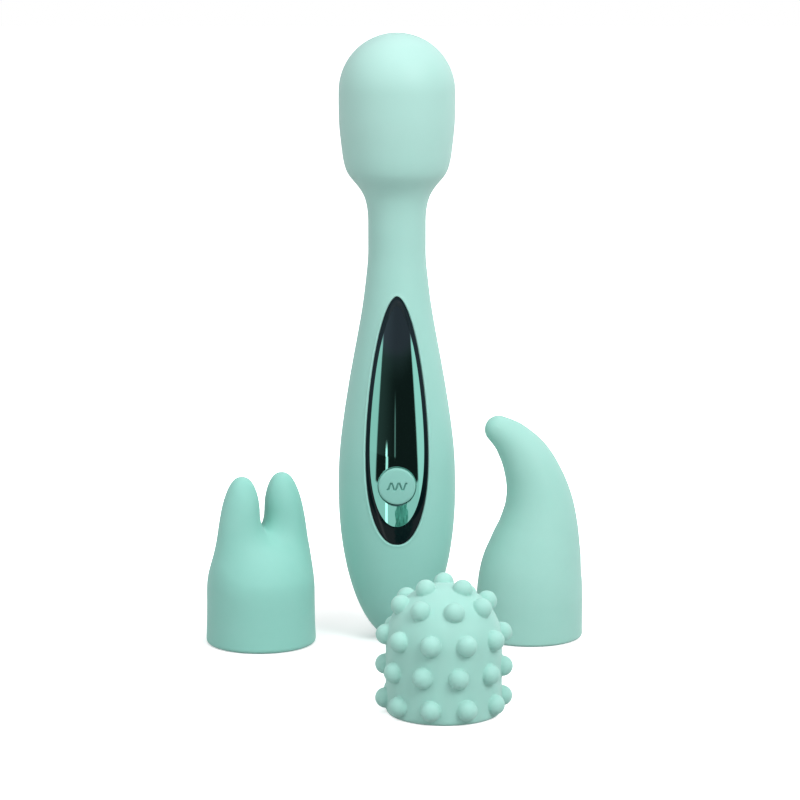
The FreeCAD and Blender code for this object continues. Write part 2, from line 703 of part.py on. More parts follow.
# the curved sleeve's middle line and radius: (x, z, radius, lean from upright in degrees)
CURVED_SECTIONS = [
    (0.0, 14.0, 17.6, 0.0),
    (0.5, 22.0, 17.0, 6.0),
    (1.8, 30.0, 15.4, 8.0),
    (2.8, 38.0, 13.3, 4.0),
    (2.9, 45.5, 11.5, -5.0),
    (1.5, 53.0, 9.8, -18.0),
    (-1.3, 60.2, 8.1, -34.0),
    (-5.9, 66.2, 6.2, -49.0),
    (-10.6, 69.8, 4.6, -57.0),
]
CURVED_END = (-11.5, 70.3, 4.35)

NUB_DOME_Z = 22.0  # the nub sleeve's hemispherical end starts at this height
NUB_R = 3.0
# rows of nubs: (height on the side or None, latitude on the dome, count, first angle from the front)
NUB_ROWS = [
    (4.7, 0.0, 10, 22.3),
    (14.6, 0.0, 10, 14.0),
    (None, 8.0, 10, 22.1),
    (None, 41.5, 8, 12.6),
    (None, 69.0, 3, 60.0),
]


def rounded_rim(shape):
    """The shape with its outer lower edge rounded."""
    lowest = min(edge.BoundBox.ZMax for edge in shape.Edges)
    rim = [edge for edge in shape.Edges if edge.BoundBox.ZMax == lowest]
    return shape.makeFillet(SLEEVE_EDGE, rim)


def half_ellipsoid(radius, height, z):
    """The upper half of a ball that is stretched or squashed along Z."""
    stretch = FreeCAD.Matrix()
    stretch.scale(1, 1, height / radius)
    whole = Part.makeSphere(radius).transformGeometry(stretch)
    whole.translate(V(0, 0, z))
    return between(whole, z, FAR)


def cavity(end_z, squash=1.0):
    """The round-ended space inside a sleeve, open at the table."""
    end = half_ellipsoid(CAVITY_R, squash * CAVITY_R, end_z)
    return end.fuse(cylinder(CAVITY_R, -PAST, end_z))


def twin_tip_sleeve():
    skirt = rounded_rim(cylinder(SLEEVE_R, 0, TWIN_DOME_Z))
    pieces = [half_ellipsoid(SLEEVE_R, TWIN_DOME_HEIGHT, TWIN_DOME_Z)]
    for side in (-1, 1):
        rings = []
        for z, distance, radius in TIP_SECTIONS:
            rings.append(Part.Wire(Part.Circle(V(side * distance, 0, z), Z_AXIS, radius).toShape()))
        finger = Part.makeLoft(rings, True, True)
        finger = finger.fuse(cylinder(radius, z, TIP_END_Z, side * distance, 0))
        finger = finger.fuse(ball(radius, side * distance, 0, TIP_END_Z))
        pieces.append(finger.common(cylinder(SLEEVE_R, 0, FAR)))
    sleeve = skirt.multiFuse(pieces).cut(cavity(TWIN_CAVITY_Z, TWIN_SQUASH))
    return moved(sleeve, *TWIN_AT, TWIN_TURN)


def curved_tip_sleeve():
    skirt = rounded_rim(cylinder(SLEEVE_R, 0, CURVED_SECTIONS[0][1]))
    wires = []
    for x, z, radius, lean in CURVED_SECTIONS:
        tilt = math.radians(lean)
        along = V(math.sin(tilt), 0, math.cos(tilt))
        wires.append(Part.Wire(Part.Circle(V(x, 0, z), along, radius).toShape()))
    horn = Part.makeLoft(wires, True, False)
    x, z, radius = CURVED_END
    sleeve = skirt.multiFuse([horn, ball(radius, x, 0, z)]).cut(cavity(CURVED_CAVITY_Z, CURVED_SQUASH))
    return moved(sleeve, *CURVED_AT)


def nub_places():
    """The centre of every nub, with angles counted from the front."""
    places = []
    for height, latitude, count, first in NUB_ROWS:
        lift = math.radians(latitude)
        radius = SLEEVE_R * math.cos(lift)
        z = NUB_DOME_Z + SLEEVE_R * math.sin(lift) if height is None else height
        for k in range(count):
            angle = math.radians(first + 360.0 * k / count)
            places.append(V(radius * math.sin(angle), -radius * math.cos(angle), z))
    return places


def nub_sleeve():
    body = rounded_rim(cylinder(SLEEVE_R, 0, NUB_DOME_Z))
    pieces = [between(ball(SLEEVE_R, 0, 0, NUB_DOME_Z), NUB_DOME_Z, FAR)]
    pieces += [ball(NUB_R, *place) for place in nub_places()]
    sleeve = body.multiFuse(pieces).cut(cavity(NUB_CAVITY_Z))
    return moved(sleeve, *NUB_AT)


# ---- write every node ---------------------------------------------------------------------------
def main():
    os.makedirs("parts", exist_ok=True)
    front, rear = handle_shells()
    save("front_shell", front)
    save("rear_shell", rear)
    makers = [handle_skin, shell_screws, trim_bezel, panel_gasket, control_panel]
    makers += [button_cap, button_seal, switch_plunger, tact_switch]
    makers += [circuit_board, controller_chip, status_led, lead_connectors, board_screws]
    makers += [chassis, chassis_screws, battery_cell, charge_socket, socket_seal]
    makers += [charge_leads, battery_leads, motor_leads]
    makers += [neck_skin, neck_core, head_skin, head_base, head_dome]
    makers += [motor_endbell, motor_can, motor_bush, motor_magnets, motor_plate]
    makers += [plate_screws, motor_screws, motor_shaft, armature, eccentric_weight]
    makers += [twin_tip_sleeve, curved_tip_sleeve, nub_sleeve]
    for maker in makers:
        save(maker.__name__, maker())


main()
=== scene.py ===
"""Looks for the handheld wand massager: its silicone skin, mirror panel, button and three soft sleeves.

The CAD frame gives the bodies and their joints. Shapes here are worked out in millimetres and turned into
metres as each mesh is made. The wand's axis is Z, its foot is at the origin, and its panel faces -Y.
"""
import json
import math

import bmesh
import bpy
import numpy as np
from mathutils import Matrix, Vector


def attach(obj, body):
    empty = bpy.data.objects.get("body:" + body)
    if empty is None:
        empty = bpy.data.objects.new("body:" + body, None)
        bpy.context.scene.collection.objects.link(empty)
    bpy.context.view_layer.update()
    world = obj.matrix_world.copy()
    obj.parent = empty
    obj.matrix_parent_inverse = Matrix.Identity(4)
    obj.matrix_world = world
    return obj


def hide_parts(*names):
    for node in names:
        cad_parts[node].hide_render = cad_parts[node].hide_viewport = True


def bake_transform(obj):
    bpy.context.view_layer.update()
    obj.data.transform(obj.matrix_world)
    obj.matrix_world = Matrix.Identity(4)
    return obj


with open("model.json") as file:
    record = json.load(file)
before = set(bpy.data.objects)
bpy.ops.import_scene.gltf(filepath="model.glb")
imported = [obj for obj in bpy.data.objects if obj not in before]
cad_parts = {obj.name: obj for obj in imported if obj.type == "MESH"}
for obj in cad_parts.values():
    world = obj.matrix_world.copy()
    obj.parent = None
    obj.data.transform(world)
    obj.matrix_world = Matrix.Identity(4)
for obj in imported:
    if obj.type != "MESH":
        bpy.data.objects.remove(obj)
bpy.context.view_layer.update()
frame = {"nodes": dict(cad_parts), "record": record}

MM = 0.001
ON_AXIS = 1e-4  # the radius of a ring that closes to a point
SHARP = 40.0  # degrees: sharper edges stay crisp
nodes = frame["nodes"]

# ---- the wand's outline, in millimetres ----
LENGTH = 200.3
HANDLE_R, HANDLE_Z = 19.3, 49.8
TAIL = 50.4  # the half-ellipse below the handle's widest place would end this far down
HEAD_R = 18.9
HEAD_Z = LENGTH - HEAD_R
# (height, radius) from the handle's widest place to the neck, and from the neck to the head's widest place
FLARE = [(HANDLE_Z, HANDLE_R), (62.0, 18.98), (74.8, 17.55), (94.8, 14.25), (112.7, 11.1), (121.8, 9.98)]
FLARE += [(130.0, 9.4)]
SHOULDER = [(138.5, 9.4), (144.3, 9.85), (147.4, 10.75), (150.9, 12.9), (154.6, 15.85), (157.2, 16.95)]
SHOULDER += [(163.1, 17.97), (170.0, 18.7), (HEAD_Z, HEAD_R)]
SKIN = 1.3
SEAM_Z = 134.0  # the two halves of the skin meet on the plain part of the neck

# window, panel and button: centre height, half width, reach up and reach down
WINDOW = (64.5, 10.5, 51.4, 29.4)
PANEL = (66.0, 9.6, 47.2, 25.2)
TIP_POWERS = (1.7, 1.8)  # how pointed their upper halves are
TAIL_POWERS = (2.3, 2.2)  # and their lower halves
BUTTON_Z, BUTTON_R = 54.7, 6.05

# sleeves: their radius, their hollow's radius, and where they stand
SLEEVE_R = 17.6
CAVITY_R = 15.6
TWIN_AT, TWIN_TURN = (-45.0, -6.3), 33.0
CURVED_AT = (44.2, 2.6)
NUB_AT = (14.3, -92.6)


# ---- meshes ----
def clamped_spline(points):
    """A smooth r(z) through (z, r) points, level at both ends."""
    z, r = np.array(points, float).T
    h = np.diff(z)
    n = len(z)
    a, b = np.zeros((n, n)), np.zeros(n)
    a[0, 0] = a[-1, -1] = 1
    for i in range(1, n - 1):
        a[i, i - 1], a[i, i], a[i, i + 1] = h[i], 2 * (h[i - 1] + h[i]), h[i - 1]
        b[i] = 3 * (h[i] * (r[i] - r[i - 1]) / h[i - 1] + h[i - 1] * (r[i + 1] - r[i]) / h[i])
    slope = np.linalg.solve(a, b)

    def at(q):
        q = np.clip(q, z[0], z[-1])
        i = np.clip(np.searchsorted(z, q) - 1, 0, n - 2)
        t = (q - z[i]) / h[i]
        return (
            r[i] * (1 + 2 * t) * (1 - t) ** 2
            + r[i + 1] * t**2 * (3 - 2 * t)
            + h[i] * slope[i] * t * (1 - t) ** 2
            + h[i] * slope[i + 1] * t**2 * (t - 1)
        )

    return at


flare, shoulder = clamped_spline(FLARE), clamped_spline(SHOULDER)


def wand_r(z):
    """The wand's outer radius at a height."""
    z = np.asarray(z, float)
    tail = HANDLE_R * np.sqrt(np.clip(1 - ((HANDLE_Z - z) / TAIL) ** 2, 0, 1))
    dome = np.sqrt(np.clip(HEAD_R**2 - (z - HEAD_Z) ** 2, 0, None))
    return np.select([z < HANDLE_Z, z < FLARE[-1][0], z < HEAD_Z], [tail, flare(z), shoulder(z)], dome)


def wand_points(turn, z, depth, step=0.05):
    """Points a depth under the wand's surface; turn 0 is the front, and heights are those on the surface."""
    turn, z, depth = np.broadcast_arrays(*(np.asarray(v, float) for v in (turn, z, depth)))
    slope = (wand_r(z + step) - wand_r(z - step)) / (2 * step)
    lean = 1 / np.sqrt(1 + slope**2)
    radius = wand_r(z) - depth * lean
    return np.stack([radius * np.sin(turn), -radius * np.cos(turn), z + depth * slope * lean], -1)


def shade(mesh, sharp):
    """Smooth shading, but for edges sharper than an angle in degrees."""
    mesh.polygons.foreach_set("use_smooth", [True] * len(mesh.polygons))
    mesh.set_sharp_from_angle(angle=math.radians(sharp))
    mesh.update()


def add(name, data):
    """An object in the scene with some data."""
    thing = bpy.data.objects.new(name, data)
    bpy.context.scene.collection.objects.link(thing)
    return thing


def make_mesh(name, points, faces, sharp=SHARP, weld=0.0):
    """A smooth-shaded piece from millimetre points; points closer than weld become one."""
    mesh = bpy.data.meshes.new(name)
    mesh.from_pydata((np.asarray(points, float) * MM).tolist(), [], [list(map(int, f)) for f in faces])
    if weld:
        bm = bmesh.new()
        bm.from_mesh(mesh)
        bmesh.ops.remove_doubles(bm, verts=bm.verts, dist=weld * MM)
        bmesh.ops.dissolve_degenerate(bm, edges=bm.edges, dist=1e-7)
        bmesh.ops.recalc_face_normals(bm, faces=bm.faces)
        bm.to_mesh(mesh)
        bm.free()
    mesh.validate()
    shade(mesh, sharp)
    return add(name, mesh)


def grid_faces(rows, columns, start=0):
    """Quads between rows of points, with each row's last point joined to its first."""
    i, j = np.meshgrid(np.arange(rows - 1), np.arange(columns), indexing="ij")
    after = (j + 1) % columns
    quads = [i * columns + j, i * columns + after, (i + 1) * columns + after, (i + 1) * columns + j]
    return (np.stack(quads, -1).reshape(-1, 4) + start).tolist()


def lathe(profile, segments):
    """Points and faces of a profile of (radius, height) turned about Z."""
    profile = np.asarray(profile, float)
    turn = np.linspace(0, 2 * math.pi, segments, endpoint=False)
    r, z = profile[:, :1], profile[:, 1:]
    points = np.stack([r * np.sin(turn), -r * np.cos(turn), z + 0 * turn], -1)
    return points.reshape(-1, 3), grid_faces(len(profile), segments)


def fillet(centre, radius, first, last, count=6):
    """Points (across, depth) along an arc between two angles in degrees."""
    a = np.radians(np.linspace(first, last, count))
    return [(centre[0] + radius * math.cos(k), centre[1] + radius * math.sin(k)) for k in a]


# ---- outlines on the wand ----
def oval_half(z, centre, half, up, down):
    """Half the width of a pointed oval at a height."""
    share = np.where(z > centre, (z - centre) / up, (centre - z) / down)
    power = np.where(z > centre, TIP_POWERS[0], TAIL_POWERS[0])
    root = np.where(z > centre, TIP_POWERS[1], TAIL_POWERS[1])
    return half * np.clip(1 - share**power, 0, 1) ** (1 / root)


def oval(size, count, fine=4000):
    """Evenly spaced (turn, height) points round a pointed oval, from its top tip, and outward normals."""
    centre, half, up, down = size
    k = np.linspace(0, math.pi, fine)
    z = centre + (up - down) / 2 + (up + down) / 2 * np.cos(k)
    x = oval_half(z, centre, half, up, down)
    x = np.concatenate([x, -x[-2:0:-1]])
    z = np.concatenate([z, z[-2:0:-1]])
    along = np.concatenate([[0], np.cumsum(np.hypot(np.diff(x, append=x[0]), np.diff(z, append=z[0])))])
    even = np.linspace(0, along[-1], count, endpoint=False)
    x, z = (np.interp(even, along, np.append(v, v[0])) for v in (x, z))
    r = wand_r(z)
    turn = np.arcsin(x / r)
    a = turn * r
    da, dz = np.roll(a, -1) - np.roll(a, 1), np.roll(z, -1) - np.roll(z, 1)
    size = np.hypot(da, dz)
    return turn, z, -dz / size, da / size


def offset(outline, distance):
    """(turn, height) of the outline moved outwards along the surface by a distance."""
    turn, z, na, nz = outline
    return turn + na * distance / wand_r(z), z + nz * distance


def strip(outline, path):
    """Rows of points along an outline for a path of (distance outwards, depth) pairs."""
    rows = []
    for distance, depth in path:
        turn, z = offset(outline, distance)
        rows.append(wand_points(turn, z, depth))
    return np.concatenate(rows)


# ---- silicone skin ----
LIP = 0.32  # the radius of the rolled lip round the window
LIP_RISE = 0.16  # the lip stands this proud of the skin
COUNT = 480  # points round the window, the bezel and the mirror
SEAM_POINTS = 40  # how many of one side's points are joined to the seam, and to the foot
# (distance outwards from the window's edge, depth): the hole's wall, and the fall from the lip to the skin
WINDOW_WALL = [(0.0, SKIN + 0.4), (0.0, 1.2), (0.0, 0.9)]
SKIN_START = 2.0
LIP_FALL = [(0.5, -0.13), (0.8, -0.05), (1.2, 0.0), (SKIN_START, 0.0)]
SKIN_ROWS = 90
SKIN_CROWD = 1.25  # above 1, the rows stand closer together near the window
# (radius, height) of the rounded edge of the socket's hole in the foot
SOCKET_HOLE = [(2.3, 0.0), (2.08, 0.0), (1.98, 0.05), (1.95, 0.16), (1.95, SKIN)]
HEAD_FINE_Z = 160.0  # below this height the head's skin has closer rows
HEAD_SEGMENTS = 200


def skin_border(count):
    """(turn, height) of the edge of the unrolled handle that each window point is joined to."""
    side = count // 2
    corner = SEAM_POINTS / side
    share = np.linspace(0, 1, side + 1)
    bends = [0, corner, 1 - corner, 1]
    turn = np.interp(share, bends, [0, math.pi, math.pi, 0])
    z = np.interp(share, bends, [SEAM_Z, SEAM_Z, 0, 0])
    right = list(zip(turn, z))
    left = [(-t, h) for t, h in right[-2:0:-1]]
    return np.array(right + left)


def handle_skin():
    """Points and faces of the skin from the foot to the seam on the neck, still open at both."""
    outline, border = oval(WINDOW, COUNT), skin_border(COUNT)
    path = WINDOW_WALL + fillet((LIP, LIP - LIP_RISE), LIP, 180, 270, 8) + LIP_FALL
    steps = np.linspace(0, 1, SKIN_ROWS)[1:] ** SKIN_CROWD
    start, hole = np.stack(offset(outline, SKIN_START), -1), np.stack(offset(outline, 0.0), -1)
    outer, inner = [strip(outline, path)], []
    for t in steps:
        turn, z = (start + (border - start) * t).T
        outer.append(wand_points(turn, z, 0))
    for t in np.concatenate([[0], steps]):
        turn, z = (hole + (border - hole) * t).T
        inner.append(wand_points(turn, np.clip(z, 0, SEAM_Z), SKIN))
    outer = np.concatenate(outer)
    joined = len(outer)
    faces = grid_faces(len(path) + len(steps), COUNT)
    faces += [f[::-1] for f in grid_faces(len(inner), COUNT, start=joined)]
    first = np.arange(COUNT)
    second = (first + 1) % COUNT
    faces += np.stack([first, second, joined + second, joined + first], -1).tolist()
    return np.concatenate([outer, *inner]), faces


def build_handle_skin():
    """The handle's skin as a piece, closed at the seam and round the socket's hole."""
    piece = make_mesh("wand_handle_skin", *handle_skin())
    bm = bmesh.new()
    bm.from_mesh(piece.data)
    bmesh.ops.remove_doubles(bm, verts=bm.verts, dist=0.002 * MM)
    close_loops(bm, open_loops(bm))
    bmesh.ops.recalc_face_normals(bm, faces=bm.faces)
    bm.to_mesh(piece.data)
    bm.free()
    shade(piece.data, SHARP)
    return piece


def open_loops(bm):
    """The border loops of a mesh, each as its vertices in order."""
    border = {e for e in bm.edges if e.is_boundary}
    loops = []
    while border:
        edge = border.pop()
        loop = [edge.verts[0], edge.verts[1]]
        while True:
            step = next((e for e in loop[-1].link_edges if e in border), None)
            if step is None:
                break
            border.remove(step)
            loop.append(step.other_vert(loop[-1]))
        if loop[0] is loop[-1]:
            loop.pop()
        loops.append(loop)
    return loops


def close_loops(bm, loops):
    """Joins the outer and inner border at the seam, and at the foot round the socket's hole."""

    def turn_of(v):
        return math.atan2(v.co.x, -v.co.y)

    def join(a, b):
        for i in range(len(a)):
            j = (i + 1) % len(a)
            bm.faces.new((a[i], a[j], b[j], b[i]))

    loops = [sorted(loop, key=turn_of) for loop in loops]
    half_way = SEAM_Z / 2 * MM
    join(*(loop for loop in loops if loop[0].co.z > half_way))
    low = [loop for loop in loops if loop[0].co.z < half_way]
    outside, inside = sorted(low, key=lambda loop: loop[0].co.z)
    rings = [outside]
    for radius, height in SOCKET_HOLE:
        turns = map(turn_of, outside)
        places = [(radius * math.sin(t), -radius * math.cos(t), height) for t in turns]
        rings.append([bm.verts.new(Vector(place) * MM) for place in places])
    rings.append(inside)
    for a, b in zip(rings, rings[1:]):
        join(a, b)


def head_skin():
    """The skin from the neck's seam over the head."""
    z = np.concatenate([np.linspace(SEAM_Z, HEAD_FINE_Z, 90), np.linspace(HEAD_FINE_Z, HEAD_Z, 34)[1:]])
    lift = np.radians(np.linspace(0, 90, 46)[1:-1])
    outer = [(float(wand_r(h)), h) for h in z]
    outer += [(HEAD_R * math.cos(a), HEAD_Z + HEAD_R * math.sin(a)) for a in lift] + [(ON_AXIS, LENGTH)]
    inner = []
    for h in z:
        p = wand_points(0.0, h, SKIN)
        inner.append((-float(p[1]), float(p[2]) if h > SEAM_Z else SEAM_Z))
    inner_r = HEAD_R - SKIN
    inner += [(inner_r * math.cos(a), HEAD_Z + inner_r * math.sin(a)) for a in lift]
    inner += [(ON_AXIS, LENGTH - SKIN)]
    return make_mesh("wand_head_skin", *lathe(outer[::-1] + inner, HEAD_SEGMENTS), weld=0.001)


# ---- bezel, panel and button ----
PANEL_GAP = 0.06  # the bezel and the mirror are this much smaller than the openings they sit in
BEZEL_COVER = 0.35  # how far the bezel covers the mirror's edge
BEZEL_BACK, BACK_OUTSET = 2.1, 0.05  # its depth at the back, and how far outside the mirror that lies
# (share of the way in, depth): the bezel's outer wall and bead, and its rounded inner edge
BEZEL_OUTSIDE = [(0.0, BEZEL_BACK), (0.0, 0.75), (0.006, 0.55), (0.02, 0.44), (0.05, 0.38), (0.10, 0.36)]
# between them it slopes, ever more steeply: from this share and depth, by this much over this share
SLOPE_START, SLOPE_DEPTH, SLOPE_FALL, SLOPE_SPAN, SLOPE_POWER = 0.10, 0.36, 0.32, 0.82, 1.5
BEZEL_INSIDE = [(0.96, 0.70), (0.985, 0.73), (1.0, 0.78), (1.0, 0.82)]
MIRROR_DEPTH = 0.84
# (distance from the mirror's edge, depth) of its rounded edges
MIRROR_EDGE = [(0.0, 2.4), (0.0, 1.1), (0.05, 0.93), (0.12, 0.86), (0.22, MIRROR_DEPTH)]
FLAT_START = 0.32  # the even part of the mirror starts this far from its edges
BUTTON_GAP = 0.28
FACE_DEPTH = 0.15  # the middle of the button's face, under the wand's surface
CROWN_R = 42.0  # the radius of the face's crown
BUTTON_EDGE = 0.6  # the radius of the face's rounded edge
MARK_REACH = 3.7  # the face has close rings out to here, round the mark
MARK_DEPTH = 0.5
# (radius, y) of the button's flange and back, down to the pad that meets the plunger
BUTTON_BACK = [(BUTTON_R, -15.3), (7.15, -15.1), (7.2, -14.9), (7.2, -14.15), (2.4, -14.1), (2.4, -13.95)]
BUTTON_BACK += [(ON_AXIS, -13.95)]


SINK_START, SINK_RATE = 96.0, 0.0022


def sink(z):
    """How much deeper the mirror and the bezel's inner edge lie near the top tip."""
    return SINK_RATE * np.clip(z - SINK_START, 0, None) ** 2


def close_ring(faces, rows):
    """Joins a strip's last row to its first, so that its section is a closed loop."""
    last = (rows - 1) * COUNT
    j = np.arange(COUNT)
    after = (j + 1) % COUNT
    return faces + np.stack([last + j, last + after, after, j], -1).tolist()


def bezel():
    """A polished frame that slopes from the skin's lip in to the mirror and covers its edge."""
    inner = oval(PANEL, COUNT)
    edge, rim = offset(oval(WINDOW, COUNT), -PANEL_GAP), offset(inner, -BEZEL_COVER)
    behind = offset(inner, BACK_OUTSET)
    shares = np.linspace(0.18, 0.92, 13)
    depths = SLOPE_DEPTH + SLOPE_FALL * ((shares - SLOPE_START) / SLOPE_SPAN) ** SLOPE_POWER
    rows = []
    for share, depth in [*BEZEL_OUTSIDE, *zip(shares, depths), *BEZEL_INSIDE]:
        turn = edge[0] + (rim[0] - edge[0]) * share
        z = edge[1] + (rim[1] - edge[1]) * share
        rows.append(wand_points(turn, z, depth + sink(z) * share**2))
    for depth in (BEZEL_INSIDE[-1][1], BEZEL_BACK):
        rows.append(wand_points(*behind, depth + sink(behind[1])))
    faces = close_ring(grid_faces(len(rows), COUNT), len(rows))
    return make_mesh("panel_bezel", np.concatenate(rows), faces, weld=0.0005)


def mirror_panel():
    """The convex mirror inside the bezel, with a round hole for the button."""
    turn, z = offset(oval(PANEL, COUNT), -PANEL_GAP)
    x = wand_r(z) * np.sin(turn)
    aim = np.arctan2(x, z - BUTTON_Z)
    hole_r = BUTTON_R + BUTTON_GAP
    hole_x, hole_z = hole_r * np.sin(aim), BUTTON_Z + hole_r * np.cos(aim)
    hole_turn = np.arcsin(hole_x / wand_r(hole_z))
    reach = np.hypot(x - hole_x, z - hole_z)
    first, last = FLAT_START / reach, 1 - FLAT_START / reach
    shares = [(away / reach, depth) for away, depth in MIRROR_EDGE]
    shares += [(first + (last - first) * k, MIRROR_DEPTH) for k in np.linspace(0.0, 1.0, 60)]
    shares += [(1 - away / reach, depth) for away, depth in MIRROR_EDGE[::-1]]
    rows = []
    for share, depth in shares:
        here = z + (hole_z - z) * share
        rows.append(wand_points(turn + (hole_turn - turn) * share, here, depth + sink(here)))
    faces = close_ring(grid_faces(len(rows), COUNT), len(rows))
    return make_mesh("mirror_panel", np.concatenate(rows), faces, sharp=60, weld=0.0005)


def wave_mark(x, z):
    """Depth of the pressed-in wave sign, from 0 outside its line to 1 inside it."""
    reach, height, pitch, line, soft = 3.1, 1.0, 2.48, 0.27, 0.1
    along = np.clip(x, -reach, reach)
    rate = 2 * math.pi / pitch
    slope = height * rate * np.cos(rate * along)
    near = np.hypot((z - height * np.sin(rate * along)) / np.sqrt(1 + slope**2), x - along)
    t = np.clip((line + soft - near) / (2 * soft), 0, 1)
    return t * t * (3 - 2 * t)


def button():
    """The soft button: a slightly crowned face with a pressed-in wave sign and a rounded edge."""
    count = 360
    turn = np.linspace(0, 2 * math.pi, count, endpoint=False)
    face_y = float(-(wand_r(BUTTON_Z) - FACE_DEPTH))
    face_r = BUTTON_R - BUTTON_EDGE
    close, rest = np.linspace(0.03, MARK_REACH, 96), np.linspace(MARK_REACH, face_r, 12)[1:]
    radii = np.concatenate([[ON_AXIS], close, rest])
    rows = []

    def ring(r, y, pressed=0.0):
        x, z = r * np.sin(turn), r * np.cos(turn)
        rows.append(np.stack([x, y + pressed * wave_mark(x, z), BUTTON_Z + z], -1))

    for r in radii:
        ring(r, face_y + r**2 / (2 * CROWN_R), MARK_DEPTH)
    edge_y = face_y + face_r**2 / (2 * CROWN_R) + 0.05
    for a in np.radians(np.linspace(0, 90, 10)[1:]):
        ring(face_r + BUTTON_EDGE * math.sin(a), edge_y + BUTTON_EDGE * (1 - math.cos(a)))
    for r, y in BUTTON_BACK:
        ring(r, y)
    faces = grid_faces(len(rows), count)
    thing = make_mesh("power_button", np.concatenate(rows), faces, sharp=50, weld=0.001)
    spots = np.zeros(len(thing.data.vertices) * 3)
    thing.data.vertices.foreach_get("co", spots)
    x, y, z = spots.reshape(-1, 3).T / MM
    # painted shade: the sign's groove is marked so that its finish paints it darker
    mark = wave_mark(x, z - BUTTON_Z) * (y < face_y + 2 * MARK_DEPTH + 0.2)
    thing.data.attributes.new("mark", "FLOAT", "POINT").data.foreach_set("value", mark)
    return thing


# ---- sleeves, as rounded level surfaces ----
def soft_min(a, b, k):
    """The smaller of two distances, rounded where they are within k of each other."""
    h = np.clip(0.5 + 0.5 * (b - a) / k, 0, 1)
    return b + (a - b) * h - k * h * (1 - h)


def soft_max(a, b, k):
    """The larger of two distances, rounded likewise."""
    return -soft_min(-a, -b, k)


def capped_cavity(p, radius, dome_z, squash):
    """Distance to the round-ended space inside a sleeve."""
    r = np.hypot(p[:, 0], p[:, 1])
    up = np.clip(p[:, 2] - dome_z, 0, None) / squash
    return np.hypot(r, up) - radius


RIM_OUT, RIM_IN = 1.6, 1.4  # how round the rim is, outside and inside


def sleeve_shell(p, outer, cavity):
    """A skin between an outer shape and a cavity, with a rounded rim on the table."""
    body = soft_max(outer, -p[:, 2], RIM_OUT)
    return soft_max(body, -cavity, RIM_IN)


TIP_START = 15.0  # the tips' shape is given from here up
TIP_Z = 44.5  # their ends begin here
TIP_END = 11.7  # and are this tall
TIP_TOP = 56.0
# (height, distance from the middle, radius) of each tip
TIPS = [(TIP_START, 8.2, 10.5), (20.4, 8.55, 8.85), (27.0, 8.95, 7.75), (34.0, 9.05, 7.2), (40.0, 8.7, 6.8)]
TIPS += [(TIP_Z, 8.25, 6.4), (TIP_TOP, 7.6, 5.4)]
TIP_LEAN = 0.72  # how far both tips lean to one side
LEAN_START, LEAN_RISE = 14.0, 16.0
POINT = 2.3  # the ends are this power's superellipse
TWIN_R = 17.8
TWIN_FLARE = 0.45  # how much wider the twin-tip sleeve gets at its rim
FLARE_RISE = 16.0
DOME_R = 18.8  # the dome under the tips, trimmed to the sleeve's radius
DOME_Z, DOME_HEIGHT = 11.5, 25.2
TIP_BLEND, BODY_BLEND, WALL_BLEND = 1.2, 5.0, 1.0  # how softly its parts run into each other
DOME_RATE, TIP_RATE = 0.8, 0.9  # these even out how fast the distances grow
TWIN_HOLLOW = (15.0, 0.6)  # where its hollow's dome starts, and how flat the dome is
tip_line = clamped_spline([(z, away) for z, away, _ in TIPS])
tip_radius = clamped_spline([(z, r) for z, _, r in TIPS])


def twin_field(p):
    """Two finger-like tips that rise from a domed body."""
    r = np.hypot(p[:, 0], p[:, 1])
    up = np.clip(p[:, 2] - DOME_Z, 0, None) * DOME_R / DOME_HEIGHT
    dome = (np.hypot(r, up) - DOME_R) * DOME_RATE
    z = np.clip(p[:, 2], TIP_START, TIP_TOP)
    lift = np.clip(p[:, 2] - TIP_Z, 0, None)
    under = np.clip(TIP_START - p[:, 2], 0, None)
    width = tip_radius(z)
    lean = TIP_LEAN * np.clip((z - LEAN_START) / LEAN_RISE, 0, 1)
    tips = []
    for side in (-1, 1):
        away = np.hypot(p[:, 0] - side * tip_line(z) - lean, p[:, 1])
        size = ((away / width) ** POINT + (lift / TIP_END) ** POINT) ** (1 / POINT)
        tips.append((size - 1) * width * TIP_RATE + under)
    outer = soft_min(dome, soft_min(*tips, TIP_BLEND), BODY_BLEND)
    flare = TWIN_FLARE * np.clip(1 - p[:, 2] / FLARE_RISE, 0, 1) ** 2
    outer = soft_max(outer, r - TWIN_R - flare, WALL_BLEND)
    return sleeve_shell(p, outer, capped_cavity(p, CAVITY_R, *TWIN_HOLLOW))


NUB_R = 3.1
NUB_PROUD = 0.2  # how far each nub's centre stands outside the sleeve's wall
NUB_DOME_Z = 22.0
# rows of nubs: (height, or None on the dome; angle up the dome; how many; where the first one is)
NUB_ROWS = [(4.7, 0.0, 10, 22.3), (14.6, 0.0, 10, 14.0), (None, 8.0, 10, 22.1)]
NUB_ROWS += [(None, 41.5, 8, 12.6), (None, 69.0, 3, 60.0)]


def nub_places():
    """The centres of the nubs."""
    places = []
    for height, latitude, count, first in NUB_ROWS:
        lift = math.radians(latitude)
        radius = (SLEEVE_R + NUB_PROUD) * math.cos(lift)
        z = NUB_DOME_Z + (SLEEVE_R + NUB_PROUD) * math.sin(lift) if height is None else height
        for k in range(count):
            angle = math.radians(first + 360.0 * k / count)
            places.append((radius * math.sin(angle), -radius * math.cos(angle), z))
    return np.array(places)


def nub_field(p):
    """A domed sleeve set with round nubs."""
    r = np.hypot(p[:, 0], p[:, 1])
    outer = np.hypot(r, np.clip(p[:, 2] - NUB_DOME_Z, 0, None)) - SLEEVE_R
    nubs = np.full(len(p), np.inf)
    for place in nub_places():
        nubs = np.minimum(nubs, np.linalg.norm(p - place, axis=1) - NUB_R)
    outer = soft_min(outer, nubs, 0.35)
    return sleeve_shell(p, outer, capped_cavity(p, CAVITY_R, NUB_DOME_Z - 1, 1.0))


